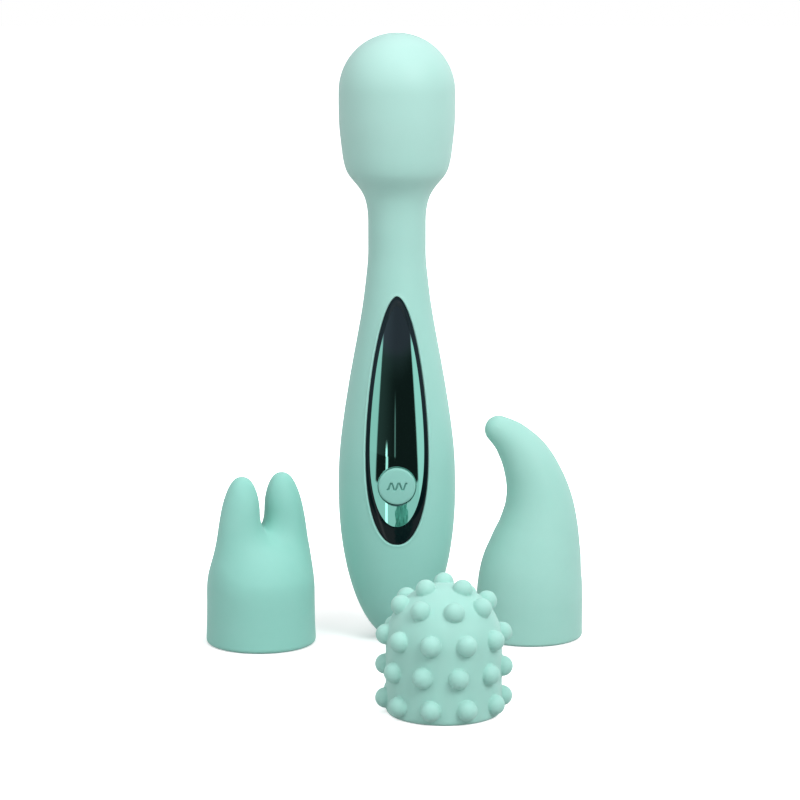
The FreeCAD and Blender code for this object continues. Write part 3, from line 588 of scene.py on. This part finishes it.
def slope_of(field, p, step=0.01):
    """Which way a field rises at each point, and how fast."""
    g = np.empty_like(p)
    for k in range(3):
        d = np.zeros(3)
        d[k] = step
        g[:, k] = (field(p + d) - field(p - d)) / (2 * step)
    return g


def onto(field, p, rounds=4, reach=0.4):
    """Points drawn onto the field's zero level."""
    for _ in range(rounds):
        g = slope_of(field, p)
        move = (field(p) / np.maximum(np.einsum("ij,ij->i", g, g), 1e-6))[:, None] * g
        size = np.linalg.norm(move, axis=1, keepdims=True)
        p = p - move * np.minimum(1, reach / np.maximum(size, 1e-9))
    return p


GRID_STEP, QUICK_STEP = 0.5, 0.8
SMOOTHINGS = 4  # how often the mesh's points are evened out


def level_mesh(field, low, high, step):
    """A closed, even quad mesh on the field's zero level."""
    axes = [np.arange(a, b + step, step) for a, b in zip(low, high)]
    grid = np.stack(np.meshgrid(*axes, indexing="ij"), -1)
    shape = grid.shape[:3]
    inside = (field(grid.reshape(-1, 3)) < 0).reshape(shape)
    count = np.zeros([n - 1 for n in shape], int)
    for dx, dy, dz in np.ndindex(2, 2, 2):
        count += inside[dx : shape[0] - 1 + dx, dy : shape[1] - 1 + dy, dz : shape[2] - 1 + dz]
    mixed = (count > 0) & (count < 8)
    index = np.full(mixed.shape, -1)
    index[mixed] = np.arange(mixed.sum())
    points = np.array(low) + (np.argwhere(mixed) + 0.5) * step
    faces = []
    unit = np.eye(3, dtype=int)
    for axis in range(3):
        u, v = unit[(axis + 1) % 3], unit[(axis + 2) % 3]
        lower = np.take(inside, range(shape[axis] - 1), axis)
        upper = np.take(inside, range(1, shape[axis]), axis)
        cell = np.argwhere(lower != upper)
        cell = cell[(cell @ (u + v) > 0) & (cell @ u > 0) & (cell @ v > 0)]
        quad = np.stack([index[tuple(c.T)] for c in (cell - u - v, cell - v, cell, cell - u)], -1)
        turned = upper[tuple(cell.T)]
        quad[turned] = quad[turned][:, ::-1]
        faces.append(quad)
    faces = np.concatenate(faces)
    points = onto(field, points)
    pairs = np.concatenate([faces[:, [k, (k + 1) % 4]] for k in range(4)])
    for _ in range(SMOOTHINGS):
        total, number = np.zeros_like(points), np.zeros(len(points))
        np.add.at(total, pairs[:, 0], points[pairs[:, 1]])
        np.add.at(number, pairs[:, 0], 1)
        points = onto(field, 0.5 * points + 0.5 * total / number[:, None], 2)
    return points, faces


def level_sleeve(name, field, low, high, at, turn=0.0):
    """A sleeve made on a field's zero level, turned and set down at its place."""
    points, faces = level_mesh(field, low, high, GRID_STEP)
    normals = slope_of(field, points)
    normals /= np.linalg.norm(normals, axis=1, keepdims=True)
    a = math.radians(turn)
    spin = np.array([[math.cos(a), -math.sin(a), 0], [math.sin(a), math.cos(a), 0], [0, 0, 1]])
    points, normals = points @ spin.T + [*at, 0], normals @ spin.T
    points[:, 2] = np.maximum(points[:, 2], 0)
    piece = make_mesh(name, points, faces, sharp=180)
    piece.data.normals_split_custom_set_from_vertices(normals.tolist())
    return piece


RIM_INSIDE, RIM_OUTSIDE = 0.8, 1.1  # the radii of the curved sleeve's rolled rim
CURVED_CAVITY_Z, CURVED_CAVITY_TOP = 12.0, 14.04  # where its hollow's dome starts, and how tall the dome is
POLE = 89.6  # degrees: a ball's last ring, which a flat face closes
# middle line of the curved sleeve and its radius: (x, z, radius)
CURVED = [
    (0.0, 14.0, 17.6),
    (0.5, 22.0, 16.95),
    (1.8, 30.0, 15.3),
    (2.85, 38.0, 13.15),
    (2.85, 45.5, 11.3),
    (1.35, 53.0, 9.65),
    (-1.7, 60.2, 8.2),
    (-6.4, 66.4, 6.3),
    (-11.6, 70.5, 4.45),
]


def smooth_through(rows, count):
    """Evenly spaced points on a smooth curve through rows of numbers, by distance along x and z."""
    rows = np.array(rows, float)
    along = np.concatenate([[0], np.cumsum(np.hypot(*np.diff(rows[:, :2], axis=0).T))])
    ends = np.vstack([2 * rows[0] - rows[1], rows, 2 * rows[-1] - rows[-2]])
    ends[0, 0], ends[0, 2] = rows[0, 0], rows[0, 2]
    at = np.concatenate([[2 * along[0] - along[1]], along, [2 * along[-1] - along[-2]]])
    q = np.linspace(0, along[-1], count)
    i = np.clip(np.searchsorted(along, q, side="right") - 1, 0, len(rows) - 2)
    slope = (ends[2:] - ends[:-2]) / (at[2:] - at[:-2])[:, None]
    h = (along[i + 1] - along[i])[:, None]
    t = ((q - along[i]) / h[:, 0])[:, None]
    return (
        rows[i] * (1 + 2 * t) * (1 - t) ** 2
        + rows[i + 1] * t**2 * (3 - 2 * t)
        + h * slope[i] * t * (1 - t) ** 2
        + h * slope[i + 1] * t**2 * (t - 1)
    )


def curved_sleeve():
    """The horn-shaped sleeve: rings along its middle line, a ball end, a rolled rim and a hollow."""
    count = 180
    turn = np.linspace(0, 2 * math.pi, count, endpoint=False)
    up = (0, 1.0)
    rows = []

    def ring(centre, direction, radius):
        side = np.array([direction[1], 0, -direction[0]])
        middle = np.array([centre[0], 0, centre[1]])
        round_it = np.cos(turn)[:, None] * side + np.sin(turn)[:, None] * np.array([0, 1.0, 0])
        rows.append(middle + radius * round_it)

    # the hollow from its top down, the rim and the straight wall
    for a in np.radians(np.linspace(POLE, 0, 30)):
        ring((0, CURVED_CAVITY_Z + CURVED_CAVITY_TOP * math.sin(a)), up, CAVITY_R * math.cos(a))
    for z in np.linspace(CURVED_CAVITY_Z, 1.0, 12)[1:]:
        ring((0, z), up, CAVITY_R)
    for a in np.radians(np.linspace(180, 270, 7)[1:]):
        ring((0, RIM_INSIDE * (1 + math.sin(a))), up, CAVITY_R + RIM_INSIDE * (1 + math.cos(a)))
    for a in np.radians(np.linspace(270, 360, 9)):
        ring((0, RIM_OUTSIDE * (1 + math.sin(a))), up, SLEEVE_R - RIM_OUTSIDE * (1 - math.cos(a)))
    for z in np.linspace(RIM_OUTSIDE, CURVED[0][1], 14)[1:-1]:
        ring((0, z), up, SLEEVE_R)
    # the horn along its middle line
    line = smooth_through(CURVED, 90)
    tangent = np.gradient(line[:, :2], axis=0)
    tangent /= np.linalg.norm(tangent, axis=1, keepdims=True)
    tangent[0] = up
    for (x, z, r), t in zip(line, tangent):
        ring((x, z), t, r)
    # the ball that ends it, tangent to its taper
    r, t = line[-1, 2], tangent[-1]
    lean = math.asin((line[-2, 2] - r) / np.hypot(*(line[-1, :2] - line[-2, :2])))
    ball = r / math.cos(lean)
    centre = line[-1, :2] - t * ball * math.sin(lean)
    for a in np.radians(np.linspace(math.degrees(lean), POLE, 26)[1:]):
        ring(centre + t * ball * math.sin(a), t, ball * math.cos(a))
    faces = grid_faces(len(rows), count)
    faces.append(list(range(count)))
    last = (len(rows) - 1) * count
    faces.append(list(range(last, last + count)))
    points = np.concatenate(rows) + [*CURVED_AT, 0]
    return make_mesh("curved_tip_sleeve_soft", points, faces, sharp=180, weld=0.0005)


# ---- inner soft pieces of the neck ----
CORE_R = 6.3
CORE_ENDS = 118.0, 146.5  # the core's waist lies between these heights
# (radius, height) of the flange that keys the core into the handle, and of the one in the head
CORE_LOW = [(CORE_R, 111.0), (7.05, 111.0), (7.2, 111.15), (7.2, 112.65), (7.05, 112.8), (CORE_R, 112.8)]
CORE_LOW += [(CORE_R, CORE_ENDS[0])]
CORE_TOP = [(CORE_R, CORE_ENDS[1]), (CORE_R, 150.5), (8.05, 150.5), (8.2, 150.65), (8.2, 152.35)]
CORE_TOP += [(8.05, 152.5)]
CORE_HOLE_R = 2.45
CORE_GAP = 1.7  # from the outside of the skin to the core
CORE_WIDEST = 7.65
CORE_SEGMENTS = 72


def core_half(name, lower):
    """Half of the rubber core: a waisted tube with a flange that keys it into the handle or the head."""
    ends = (CORE_ENDS[0], SEAM_Z) if lower else (SEAM_Z, CORE_ENDS[1])
    waist = [(min(float(wand_r(z)) - CORE_GAP, CORE_WIDEST), z) for z in np.linspace(*ends, 18)]
    outside = CORE_LOW + waist if lower else waist + CORE_TOP
    heights = np.linspace(outside[-1][1], outside[0][1], 40)
    profile = outside + [(CORE_HOLE_R, z) for z in heights] + outside[:1]
    return make_mesh(name, *lathe(profile, CORE_SEGMENTS), weld=0.0005)


LEAD_R = 0.5
LEAD_OFFSETS = (-0.75, 0.75)
LEAD_ROUTE = [(4.2, -10.8, 80.6), (4.2, -10.8, 84.0), (4.2, -3.5, 98.0), (0, 0, 106.0), (0, 0, SEAM_Z)]
LEAD_TOP = 154.4  # where the leads meet the motor


def rounded_route(route, cut=2.0, count=6):
    """A route with each corner swapped for a short curve."""
    route = [np.array(p, float) for p in route]
    points = [route[0]]
    for before, corner, after in zip(route, route[1:], route[2:]):
        size = min(cut, np.linalg.norm(corner - before) / 2, np.linalg.norm(after - corner) / 2)
        a = corner + (before - corner) / np.linalg.norm(before - corner) * size
        b = corner + (after - corner) / np.linalg.norm(after - corner) * size
        for t in np.linspace(0, 1, count):
            points.append(a * (1 - t) ** 2 + 2 * corner * t * (1 - t) + b * t**2)
    return np.array([*points, route[-1]])


def leads(name, route):
    """A pair of round leads along a route, cut square at both ends."""
    path = rounded_route(route)
    low, high = path[-2:]
    path = np.concatenate([path[:-1], low + (high - low) * np.linspace(0, 1, 16)[1:, None]])
    along = np.gradient(path, axis=0)
    along /= np.linalg.norm(along, axis=1, keepdims=True)
    across = np.cross(along, (1.0, 0.0, 0.0))
    across /= np.linalg.norm(across, axis=1, keepdims=True)
    third = np.cross(along, across)
    turn = np.linspace(0, 2 * math.pi, 14, endpoint=False)[:, None]
    size = len(path) * len(turn)
    points, faces = [], []
    for start, shift in zip((0, size), LEAD_OFFSETS):
        for middle, u, v in zip(path, across, third):
            points.append(middle + (shift, 0, 0) + LEAD_R * (np.cos(turn) * u + np.sin(turn) * v))
        faces += grid_faces(len(path), len(turn), start=start)
        faces.append(list(range(start, start + len(turn)))[::-1])
        faces.append(list(range(start + size - len(turn), start + size)))
    return make_mesh(name, np.concatenate(points), faces, weld=0.0005)


# ---- materials ----
WEAR_RANGE = (0.505, 0.56)  # the pointiness at which an edge starts to pale, and is fully pale
WEAR_GAIN, WEAR_LIFT = 1.25, 0.05  # how much lighter a worn edge is than the base colour
FINE = (6.0, 0.65)  # the fine grain's detail and roughness
GLOSS_PATCH = 9  # the gloss varies over patches this many times larger than the grain
COAT_ROUGHNESS, SHEEN_ROUGHNESS = 0.05, 0.6
SOFT_SPREAD, SOFT_DEPTH = (0.7, 1.0, 0.9), 1.2 * MM  # how far light travels inside silicone


def fill(node, values):
    """Sets a node's plain inputs."""
    for name, value in values.items():
        node.inputs[name].default_value = value


def finish_of(
    name, base, second, rough=(0.4, 0.5), metal=0.0, grain=(4000.0, 0.1), patch=60.0, stretch=(1, 1, 1),
    coat=0.0, sheen=0.0, soft=0.0, wear=0.0, specular=0.5, bump_mm=0.02, painted_light_by_height=None, painted_groove_shade=None,
):
    """A procedural finish: two colours in soft patches, uneven gloss, a fine grain and paler edges.

    grain is (size, strength). The fade by height is (colour, from, to), painted light: the colours turn into
    that one between two heights. The mark colour is painted shade: the colours turn into it where the mesh's
    "mark" is 1.
    """
    material = bpy.data.materials.new(name)
    material.use_nodes = True
    tree = material.node_tree
    new, link = tree.nodes.new, tree.links.new
    shader = tree.nodes["Principled BSDF"]
    place = new("ShaderNodeTexCoord")
    scale = new("ShaderNodeMapping")
    fill(scale, {"Scale": stretch})
    link(place.outputs["Object"], scale.inputs["Vector"])

    def noise(size, detail=4.0, roughness=0.55):
        node = new("ShaderNodeTexNoise")
        fill(node, {"Scale": size, "Detail": detail, "Roughness": roughness})
        link(scale.outputs["Vector"], node.inputs["Vector"])
        return node.outputs["Fac"]

    def spread(value, low, high, from_low=0.3, from_high=0.7):
        node = new("ShaderNodeMapRange")
        fill(node, {"From Min": from_low, "From Max": from_high, "To Min": low, "To Max": high})
        link(value, node.inputs["Value"])
        return node.outputs["Result"]

    def blend(fac, a, b):
        node = new("ShaderNodeMix")
        node.data_type = "RGBA"
        link(fac, node.inputs["Factor"])
        for value, socket in ((a, node.inputs[6]), (b, node.inputs[7])):
            if isinstance(value, tuple):
                socket.default_value = (*value, 1)
            else:
                link(value, socket)
        return node.outputs[2]

    colour = blend(spread(noise(patch), 0.0, 1.0), base, second)
    if painted_light_by_height:
        height = new("ShaderNodeSeparateXYZ")
        link(place.outputs["Object"], height.inputs[0])
        colour = blend(spread(height.outputs[2], 0.0, 1.0, *painted_light_by_height[1:]), colour, painted_light_by_height[0])
    # painted shade: the sign's groove takes the darker colour
    if painted_groove_shade:
        mark = new("ShaderNodeAttribute")
        mark.attribute_name = "mark"
        colour = blend(mark.outputs["Fac"], colour, painted_groove_shade)
    fine = noise(grain[0], *FINE)
    if wear:
        edge = new("ShaderNodeNewGeometry")
        pale = tuple(min(1.0, c * WEAR_GAIN + WEAR_LIFT) for c in base)
        colour = blend(spread(edge.outputs["Pointiness"], 0.0, wear, *WEAR_RANGE), colour, pale)
    link(colour, shader.inputs["Base Color"])
    link(spread(noise(grain[0] / GLOSS_PATCH), *rough), shader.inputs["Roughness"])
    bump = new("ShaderNodeBump")
    fill(bump, {"Strength": grain[1], "Distance": bump_mm * MM})
    link(fine, bump.inputs["Height"])
    link(bump.outputs["Normal"], shader.inputs["Normal"])
    fill(shader, {"Metallic": metal, "Specular IOR Level": specular, "Subsurface Weight": soft})
    fill(shader, {"Coat Weight": coat, "Coat Roughness": COAT_ROUGHNESS})
    fill(shader, {"Sheen Weight": sheen, "Sheen Roughness": SHEEN_ROUGHNESS})
    if soft:
        fill(shader, {"Subsurface Radius": SOFT_SPREAD, "Subsurface Scale": SOFT_DEPTH})
    return material


def dress(thing, material):
    """Gives a piece one material."""
    thing.data.materials.clear()
    thing.data.materials.append(material)


MINT = (0.285, 0.62, 0.545)
MINT_DEEP = (0.265, 0.60, 0.525)
MINT_PAINTED_TOP_LIGHT = (0.40, 0.67, 0.61)  # painted light: the silicone is painted this paler colour towards the top, where more light falls
# what the button and the three sleeves have in common, and what only the sleeves have
SLEEVE = dict(rough=(0.55, 0.66), grain=(7000.0, 0.3), patch=55.0, specular=0.3)
SOFT_SLEEVE = dict(SLEEVE, sheen=0.12, soft=0.2, wear=0.1, bump_mm=0.03)
# painted light: the silicone turns paler from 3 cm to 17 cm up, lighter towards the top
silicone = finish_of(
    "mint_silicone", MINT, MINT_DEEP, (0.5, 0.6), grain=(9000.0, 0.25), patch=45.0, sheen=0.12, soft=0.15,
    specular=0.4, painted_light_by_height=(MINT_PAINTED_TOP_LIGHT, 0.03, 0.17))
sleeve_silicone = finish_of("sleeve_silicone", MINT, MINT_DEEP, **SOFT_SLEEVE)
# painted light: a paler, lit copy of the sleeve silicone for the curved and the nubbed sleeves
painted_lit_silicone = finish_of("painted_lit_sleeve_silicone", (0.355, 0.65, 0.58), (0.335, 0.63, 0.56), **SOFT_SLEEVE)
# painted shade: the button is a darker copy of the mint silicone, to offset the light that falls on its face
shaded_button_silicone = finish_of(
    "shaded_button_silicone", (0.26, 0.565, 0.50), (0.25, 0.55, 0.485), soft=0.1, painted_groove_shade=(0.14, 0.37, 0.32),
    **SLEEVE)
# painted reflection: the black is painted paler towards the top of the bezel, from 5 cm to 9 cm up, for the
# slate it reflects there
gloss_black = finish_of(
    "gloss_black", (0.001, 0.006, 0.007), (0.0015, 0.007, 0.008), (0.04, 0.09), coat=0.03,
    grain=(3000.0, 0.04), specular=0.12, painted_light_by_height=((0.013, 0.023, 0.028), 0.05, 0.09))
mirror = finish_of(
    "tinted_mirror", (0.22, 0.55, 0.47), (0.21, 0.53, 0.45), (0.025, 0.05), metal=1.0,
    grain=(900.0, 0.02), patch=25.0, coat=0.1)

FINISHES = {
    "inner_shell": finish_of(
        "moulded_shell", (0.72, 0.72, 0.69), (0.68, 0.68, 0.65), (0.45, 0.55), grain=(6000.0, 0.3), wear=0.4),
    "component_black": finish_of(
        "component_black", (0.02, 0.02, 0.02), (0.03, 0.03, 0.03), grain=(5000.0, 0.3), wear=0.3),
    "seal_silicone": finish_of(
        "seal_silicone", (0.55, 0.57, 0.56), (0.5, 0.52, 0.51), (0.5, 0.6), grain=(6000.0, 0.2), soft=0.1),
    "circuit": finish_of(
        "solder_mask", (0.012, 0.12, 0.045), (0.01, 0.10, 0.04), (0.25, 0.35), grain=(3000.0, 0.2),
        patch=400.0, coat=0.3),
    "led": finish_of(
        "clear_lens", (0.8, 0.82, 0.78), (0.75, 0.78, 0.72), (0.1, 0.15), grain=(2000.0, 0.05), coat=0.5),
    "steel": finish_of(
        "zinc_steel", (0.56, 0.56, 0.55), (0.48, 0.48, 0.47), (0.25, 0.38), metal=1.0, grain=(3000.0, 0.25),
        stretch=(1, 1, 0.2), wear=0.5),
    "cell_wrap": finish_of(
        "cell_film", (0.02, 0.08, 0.32), (0.02, 0.07, 0.28), (0.15, 0.25), grain=(1500.0, 0.1), coat=0.5),
    "lead_cover": finish_of("lead_cover", (0.45, 0.02, 0.015), (0.4, 0.02, 0.015), grain=(5000.0, 0.15)),
    "core_rubber": finish_of(
        "core_rubber", (0.02, 0.02, 0.02), (0.03, 0.03, 0.028), (0.6, 0.75), grain=(4000.0, 0.4), wear=0.3),
    "magnet": finish_of(
        "ferrite", (0.05, 0.05, 0.055), (0.07, 0.07, 0.075), (0.6, 0.75), grain=(5000.0, 0.5), wear=0.4),
    "bronze": finish_of(
        "sintered_bronze", (0.5, 0.32, 0.13), (0.42, 0.27, 0.11), (0.35, 0.5), metal=1.0,
        grain=(7000.0, 0.5)),
    "weight_metal": finish_of(
        "sintered_weight", (0.22, 0.22, 0.22), (0.17, 0.17, 0.17), (0.4, 0.55), metal=1.0,
        grain=(6000.0, 0.5), wear=0.4),
    "silicone_mint": silicone,
    "black_trim": gloss_black,
    "mirror_panel": mirror,
}
slot_of = {s["node"]: s["material_slot"] for s in frame["record"]["subparts"]}
for name, node in nodes.items():
    dress(node, FINISHES[slot_of[name]])


def bends(piece, lower, slot):
    """Bakes a soft piece's place into its mesh, the same way for the lower and the upper half."""
    if lower:
        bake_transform(piece)
    else:
        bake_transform(piece)


lower_skin, upper_skin = build_handle_skin(), head_skin()
for piece, lower in ((lower_skin, True), (upper_skin, False)):
    dress(piece, silicone)
    bends(piece, lower, "silicone_mint")
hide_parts("handle_skin", "neck_skin")
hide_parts("head_skin")

core = core_half("neck_core_lower", True), core_half("neck_core_upper", False)
upper_route = [(0, 0, SEAM_Z), (0, 0, LEAD_TOP)]
motor_leads = leads("motor_leads_lower", LEAD_ROUTE), leads("motor_leads_upper", upper_route)
for pair, node, slot in ((core, "neck_core", "core_rubber"), (motor_leads, "motor_leads", "lead_cover")):
    for piece, lower in zip(pair, (True, False)):
        dress(piece, FINISHES[slot])
        bends(piece, lower, slot)
        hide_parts(node)

# each sleeve's shape with the corners of the space it fits in, its place and its turn
twin = level_sleeve("twin_tip_sleeve_soft", twin_field, (-20, -20, -1.6), (20, 20, 58), TWIN_AT, TWIN_TURN)
nubbed = level_sleeve("nub_sleeve_soft", nub_field, (-22.5, -22.5, -1.6), (22.5, 22.5, 45), NUB_AT)

# pieces that move with one body: piece, finish, slot, the body it rides on, and the CAD node it stands for
for piece, finish, slot, body, node in (
    (bezel(), gloss_black, "black_trim", "handle", "trim_bezel"),
    (mirror_panel(), mirror, "mirror_panel", "handle", "control_panel"),
    (button(), shaded_button_silicone, "silicone_mint", "button", "button_cap"),
    (twin, sleeve_silicone, "silicone_mint", "twin_tip", "twin_tip_sleeve"),
    (nubbed, painted_lit_silicone, "silicone_mint", "nubbed", "nub_sleeve"),
    (curved_sleeve(), painted_lit_silicone, "silicone_mint", "curved_tip", "curved_tip_sleeve"),
):
    dress(piece, finish)
    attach(piece, body)
    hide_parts(node)


# ---- studio ----
WHITE = (1, 1, 1, 1)
FLOOR_HALF = 4.0
FLOOR_WHITE = (0.92, 0.92, 0.92, 1)
FLOOR_BOUNCE = (0.45, 0.45, 0.45, 1)  # what the object's shaded sides see of the floor
GLOW_MIDDLE, GLOW_REACH = 0.25, 0.22  # the floor's own white is weaker near the middle, so shadows show
DIFFUSE_CUT = -0.6  # the room lights matt surfaces this much less than it shows the camera

# What the mirror panel sees. Angles are in radians from straight ahead to the right, heights go from 0 at the
# horizon to 1 overhead, and a pair of either is a soft step from one value to the other.
BOX_ANGLES, BOX_HEIGHTS = (0.73, 0.79), (0.26, 0.215)
LEFT_BOX, RIGHT_BOX, BOX_CHANGE = 0.92, 1.15, (-0.2, 0.2)
FLOOR_STRIP = (-0.36, 0.03, 0.02)  # a slim light's angle, half width and soft edge
LOW_STRIP, LOW_HEIGHTS = (-0.38, 0.022, 0.02), (0.06, 0.0)
TALL_STRIP, TALL_HEIGHTS = (-0.07, 0.008, 0.03), (0.17, 0.10)
FLOOR_POWER, LOW_POWER, TALL_POWER = 1.6, 2.4, 0.3
NEAR_FLOOR, NEAR_POWER = (-0.30, -0.27), 0.95  # the pale floor by the wand, in metres along Y
SLATE, SLATE_HEIGHTS, SLATE_HUE = 0.07, (0.17, 0.25), (1.0, 0.61, 0.89, 1)
CEILING_HEIGHTS = (0.55, 0.75)
DIM, DIM_ANGLES = 0.045, (0.0, -0.75)  # the left of the room is a little less dark
DARK = 0.018


class Nodes:
    """A short way to wire up a shader's arithmetic."""

    def __init__(self, tree):
        self.tree = tree

    def math(self, operation, *values, clamp=False):
        """One sum or product of numbers and other nodes' results."""
        node = self.tree.nodes.new("ShaderNodeMath")
        node.operation, node.use_clamp = operation, clamp
        for socket, value in zip(node.inputs, values):
            if isinstance(value, (int, float)):
                socket.default_value = value
            else:
                self.tree.links.new(value, socket)
        return node.outputs[0]

    def plus(self, *values):
        """The sum of two values."""
        return self.math("ADD", *values)

    def times(self, *values):
        """The product of two values."""
        return self.math("MULTIPLY", *values)

    def step(self, value, low, high):
        """0 below low and 1 above high, or the other way round when low is above high."""
        node = self.tree.nodes.new("ShaderNodeMapRange")
        node.interpolation_type = "SMOOTHSTEP"
        self.tree.links.new(value, node.inputs["Value"])
        flipped = low > high
        fill(node, {"From Min": min(low, high), "From Max": max(low, high)})
        fill(node, {"To Min": float(flipped), "To Max": float(not flipped)})
        return node.outputs["Result"]

    def bar(self, value, middle, half, soft):
        """1 within half of a middle value, falling to 0 over a soft edge."""
        gap = self.math("ABSOLUTE", self.math("SUBTRACT", value, middle))
        return self.step(gap, half + soft, half)

    def axes(self, kind):
        """The x, y and z of one kind of texture coordinate."""
        node = self.tree.nodes.new("ShaderNodeSeparateXYZ")
        self.tree.links.new(self.tree.nodes.new("ShaderNodeTexCoord").outputs[kind], node.inputs[0])
        return node.outputs

    def angle(self, x, y):
        """The compass angle from straight ahead of the panel, to the right."""
        return self.math("ARCTAN2", x, self.times(y, -1.0))

    def side_lights(self, aim):
        """The tall softboxes left and right of the mirror panel."""
        share = self.plus(LEFT_BOX, self.times(self.step(aim, *BOX_CHANGE), RIGHT_BOX - LEFT_BOX))
        return self.times(self.step(self.math("ABSOLUTE", aim), *BOX_ANGLES), share)

    def either(self, first, second, share):
        """A mix of two shaders."""
        mix = self.tree.nodes.new("ShaderNodeMixShader")
        for value, socket in zip((share, first, second), mix.inputs):
            self.tree.links.new(value, socket)
        return mix.outputs[0]


def white_floor():
    """A white floor, which the mirror panel sees as pale near by and dark further off, with lights on it."""
    corners = [(-1, -1), (1, -1), (1, 1), (-1, 1)]
    mesh = bpy.data.meshes.new("floor")
    mesh.from_pydata([(x * FLOOR_HALF, y * FLOOR_HALF, 0) for x, y in corners], [], [(0, 1, 2, 3)])
    add("floor", mesh)
    material = bpy.data.materials.new("floor_white")
    material.use_nodes = True
    tree = material.node_tree
    n = Nodes(tree)
    white = tree.nodes["Principled BSDF"]
    ray = tree.nodes.new("ShaderNodeLightPath").outputs
    x, y, _ = n.axes("Object")
    away = n.math("SQRT", n.plus(n.times(x, x), n.times(y, y)))
    glow = n.plus(GLOW_MIDDLE, n.times(n.step(away, 0.0, GLOW_REACH), 1.0 - GLOW_MIDDLE))
    tree.links.new(n.times(glow, ray["Is Camera Ray"]), white.inputs["Emission Strength"])
    fill(white, {"Base Color": FLOOR_WHITE, "Emission Color": WHITE})
    fill(white, {"Roughness": 1.0, "Specular IOR Level": 0.1})

    aim = n.angle(x, y)
    near = n.times(n.step(y, *NEAR_FLOOR), NEAR_POWER)
    strip = n.times(n.bar(aim, *FLOOR_STRIP), FLOOR_POWER)
    seen = n.plus(n.math("MAXIMUM", near, n.side_lights(aim)), n.plus(strip, DARK))
    mirrored = tree.nodes.new("ShaderNodeEmission")
    tree.links.new(seen, mirrored.inputs["Strength"])
    grey = tree.nodes.new("ShaderNodeBsdfDiffuse")
    fill(grey, {"Color": FLOOR_BOUNCE})
    surface = n.either(white.outputs[0], mirrored.outputs[0], ray["Is Glossy Ray"])
    surface = n.either(surface, grey.outputs[0], ray["Is Diffuse Ray"])
    tree.links.new(surface, tree.nodes["Material Output"].inputs["Surface"])
    mesh.materials.append(material)


def white_room():
    """An even white room, which the mirror panel sees as dark, with softboxes, slim lights and a ceiling."""
    world = bpy.data.worlds.new("studio")
    bpy.context.scene.world = world
    world.use_nodes = True
    tree = world.node_tree
    n = Nodes(tree)
    room = tree.nodes["Background"].inputs
    ray = tree.nodes.new("ShaderNodeLightPath").outputs
    x, y, z = n.axes("Generated")
    aim = n.angle(x, y)
    side = n.times(n.side_lights(aim), n.step(z, *BOX_HEIGHTS))
    low = n.times(n.times(n.bar(aim, *LOW_STRIP), n.step(z, *LOW_HEIGHTS)), LOW_POWER)
    tall = n.times(n.bar(aim, *TALL_STRIP), TALL_POWER)
    strips = n.times(n.plus(low, tall), n.step(z, *TALL_HEIGHTS))
    slate = n.times(n.step(z, *SLATE_HEIGHTS), SLATE)
    dim = n.plus(slate, n.times(n.step(aim, *DIM_ANGLES), DIM))
    ceiling = n.step(z, *CEILING_HEIGHTS)
    shine = n.plus(n.plus(side, strips), n.plus(ceiling, n.plus(dim, DARK)))
    strength = tree.nodes.new("ShaderNodeMix")
    tree.links.new(ray["Is Glossy Ray"], strength.inputs["Factor"])
    tree.links.new(n.plus(1.0, n.times(ray["Is Diffuse Ray"], DIFFUSE_CUT)), strength.inputs["A"])
    tree.links.new(shine, strength.inputs["B"])
    tree.links.new(strength.outputs["Result"], room["Strength"])

    tint = tree.nodes.new("ShaderNodeMix")
    tint.data_type = "RGBA"
    tint.inputs[6].default_value = WHITE
    tint.inputs[7].default_value = SLATE_HUE
    above = n.times(n.step(z, *SLATE_HEIGHTS), n.math("SUBTRACT", 1.0, side, clamp=True))
    tree.links.new(n.times(above, ray["Is Glossy Ray"]), tint.inputs["Factor"])
    tree.links.new(tint.outputs[2], room["Color"])


CAMERA_AT = (0.001, -0.999, 0.2525)
CAMERA_TILT = 80.204  # degrees up from straight down
LENS, SENSOR = 138.6, 36

white_floor()
# square softboxes: name, place, target, width, watts, and whether shiny surfaces show it
for name, at, target, size, power, shiny in (
    ("key", (0.6, -0.7, 0.8), (0, 0, 0.10), 0.5, 8.0, True),
    ("fill", (-0.8, -0.5, 0.35), (0, 0, 0.09), 0.5, 0.8, False),
    ("top", (0.0, 0.0, 1.1), (0, 0, 0.05), 0.8, 3.2, True),
    ("front", (-0.3, -0.55, 0.55), (0, 0, 0.17), 0.4, 1.3, True),
    ("back", (0.75, 0.8, 0.6), (0, 0, 0.08), 0.6, 3.6, False),
):
    softbox = bpy.data.lights.new(name, "AREA")
    softbox.size, softbox.energy = size, power
    light = add(name, softbox)
    light.location = at
    light.rotation_euler = (Vector(target) - Vector(at)).to_track_quat("-Z", "Y").to_euler()
    light.visible_glossy = shiny
white_room()

camera_data = bpy.data.cameras.new("camera")
camera_data.lens, camera_data.sensor_width = LENS, SENSOR
camera = add("camera", camera_data)
camera.location = CAMERA_AT
camera.rotation_euler = (math.radians(CAMERA_TILT), 0, 0)
bpy.context.scene.camera = camera
bpy.context.scene.view_settings.view_transform = "Standard"
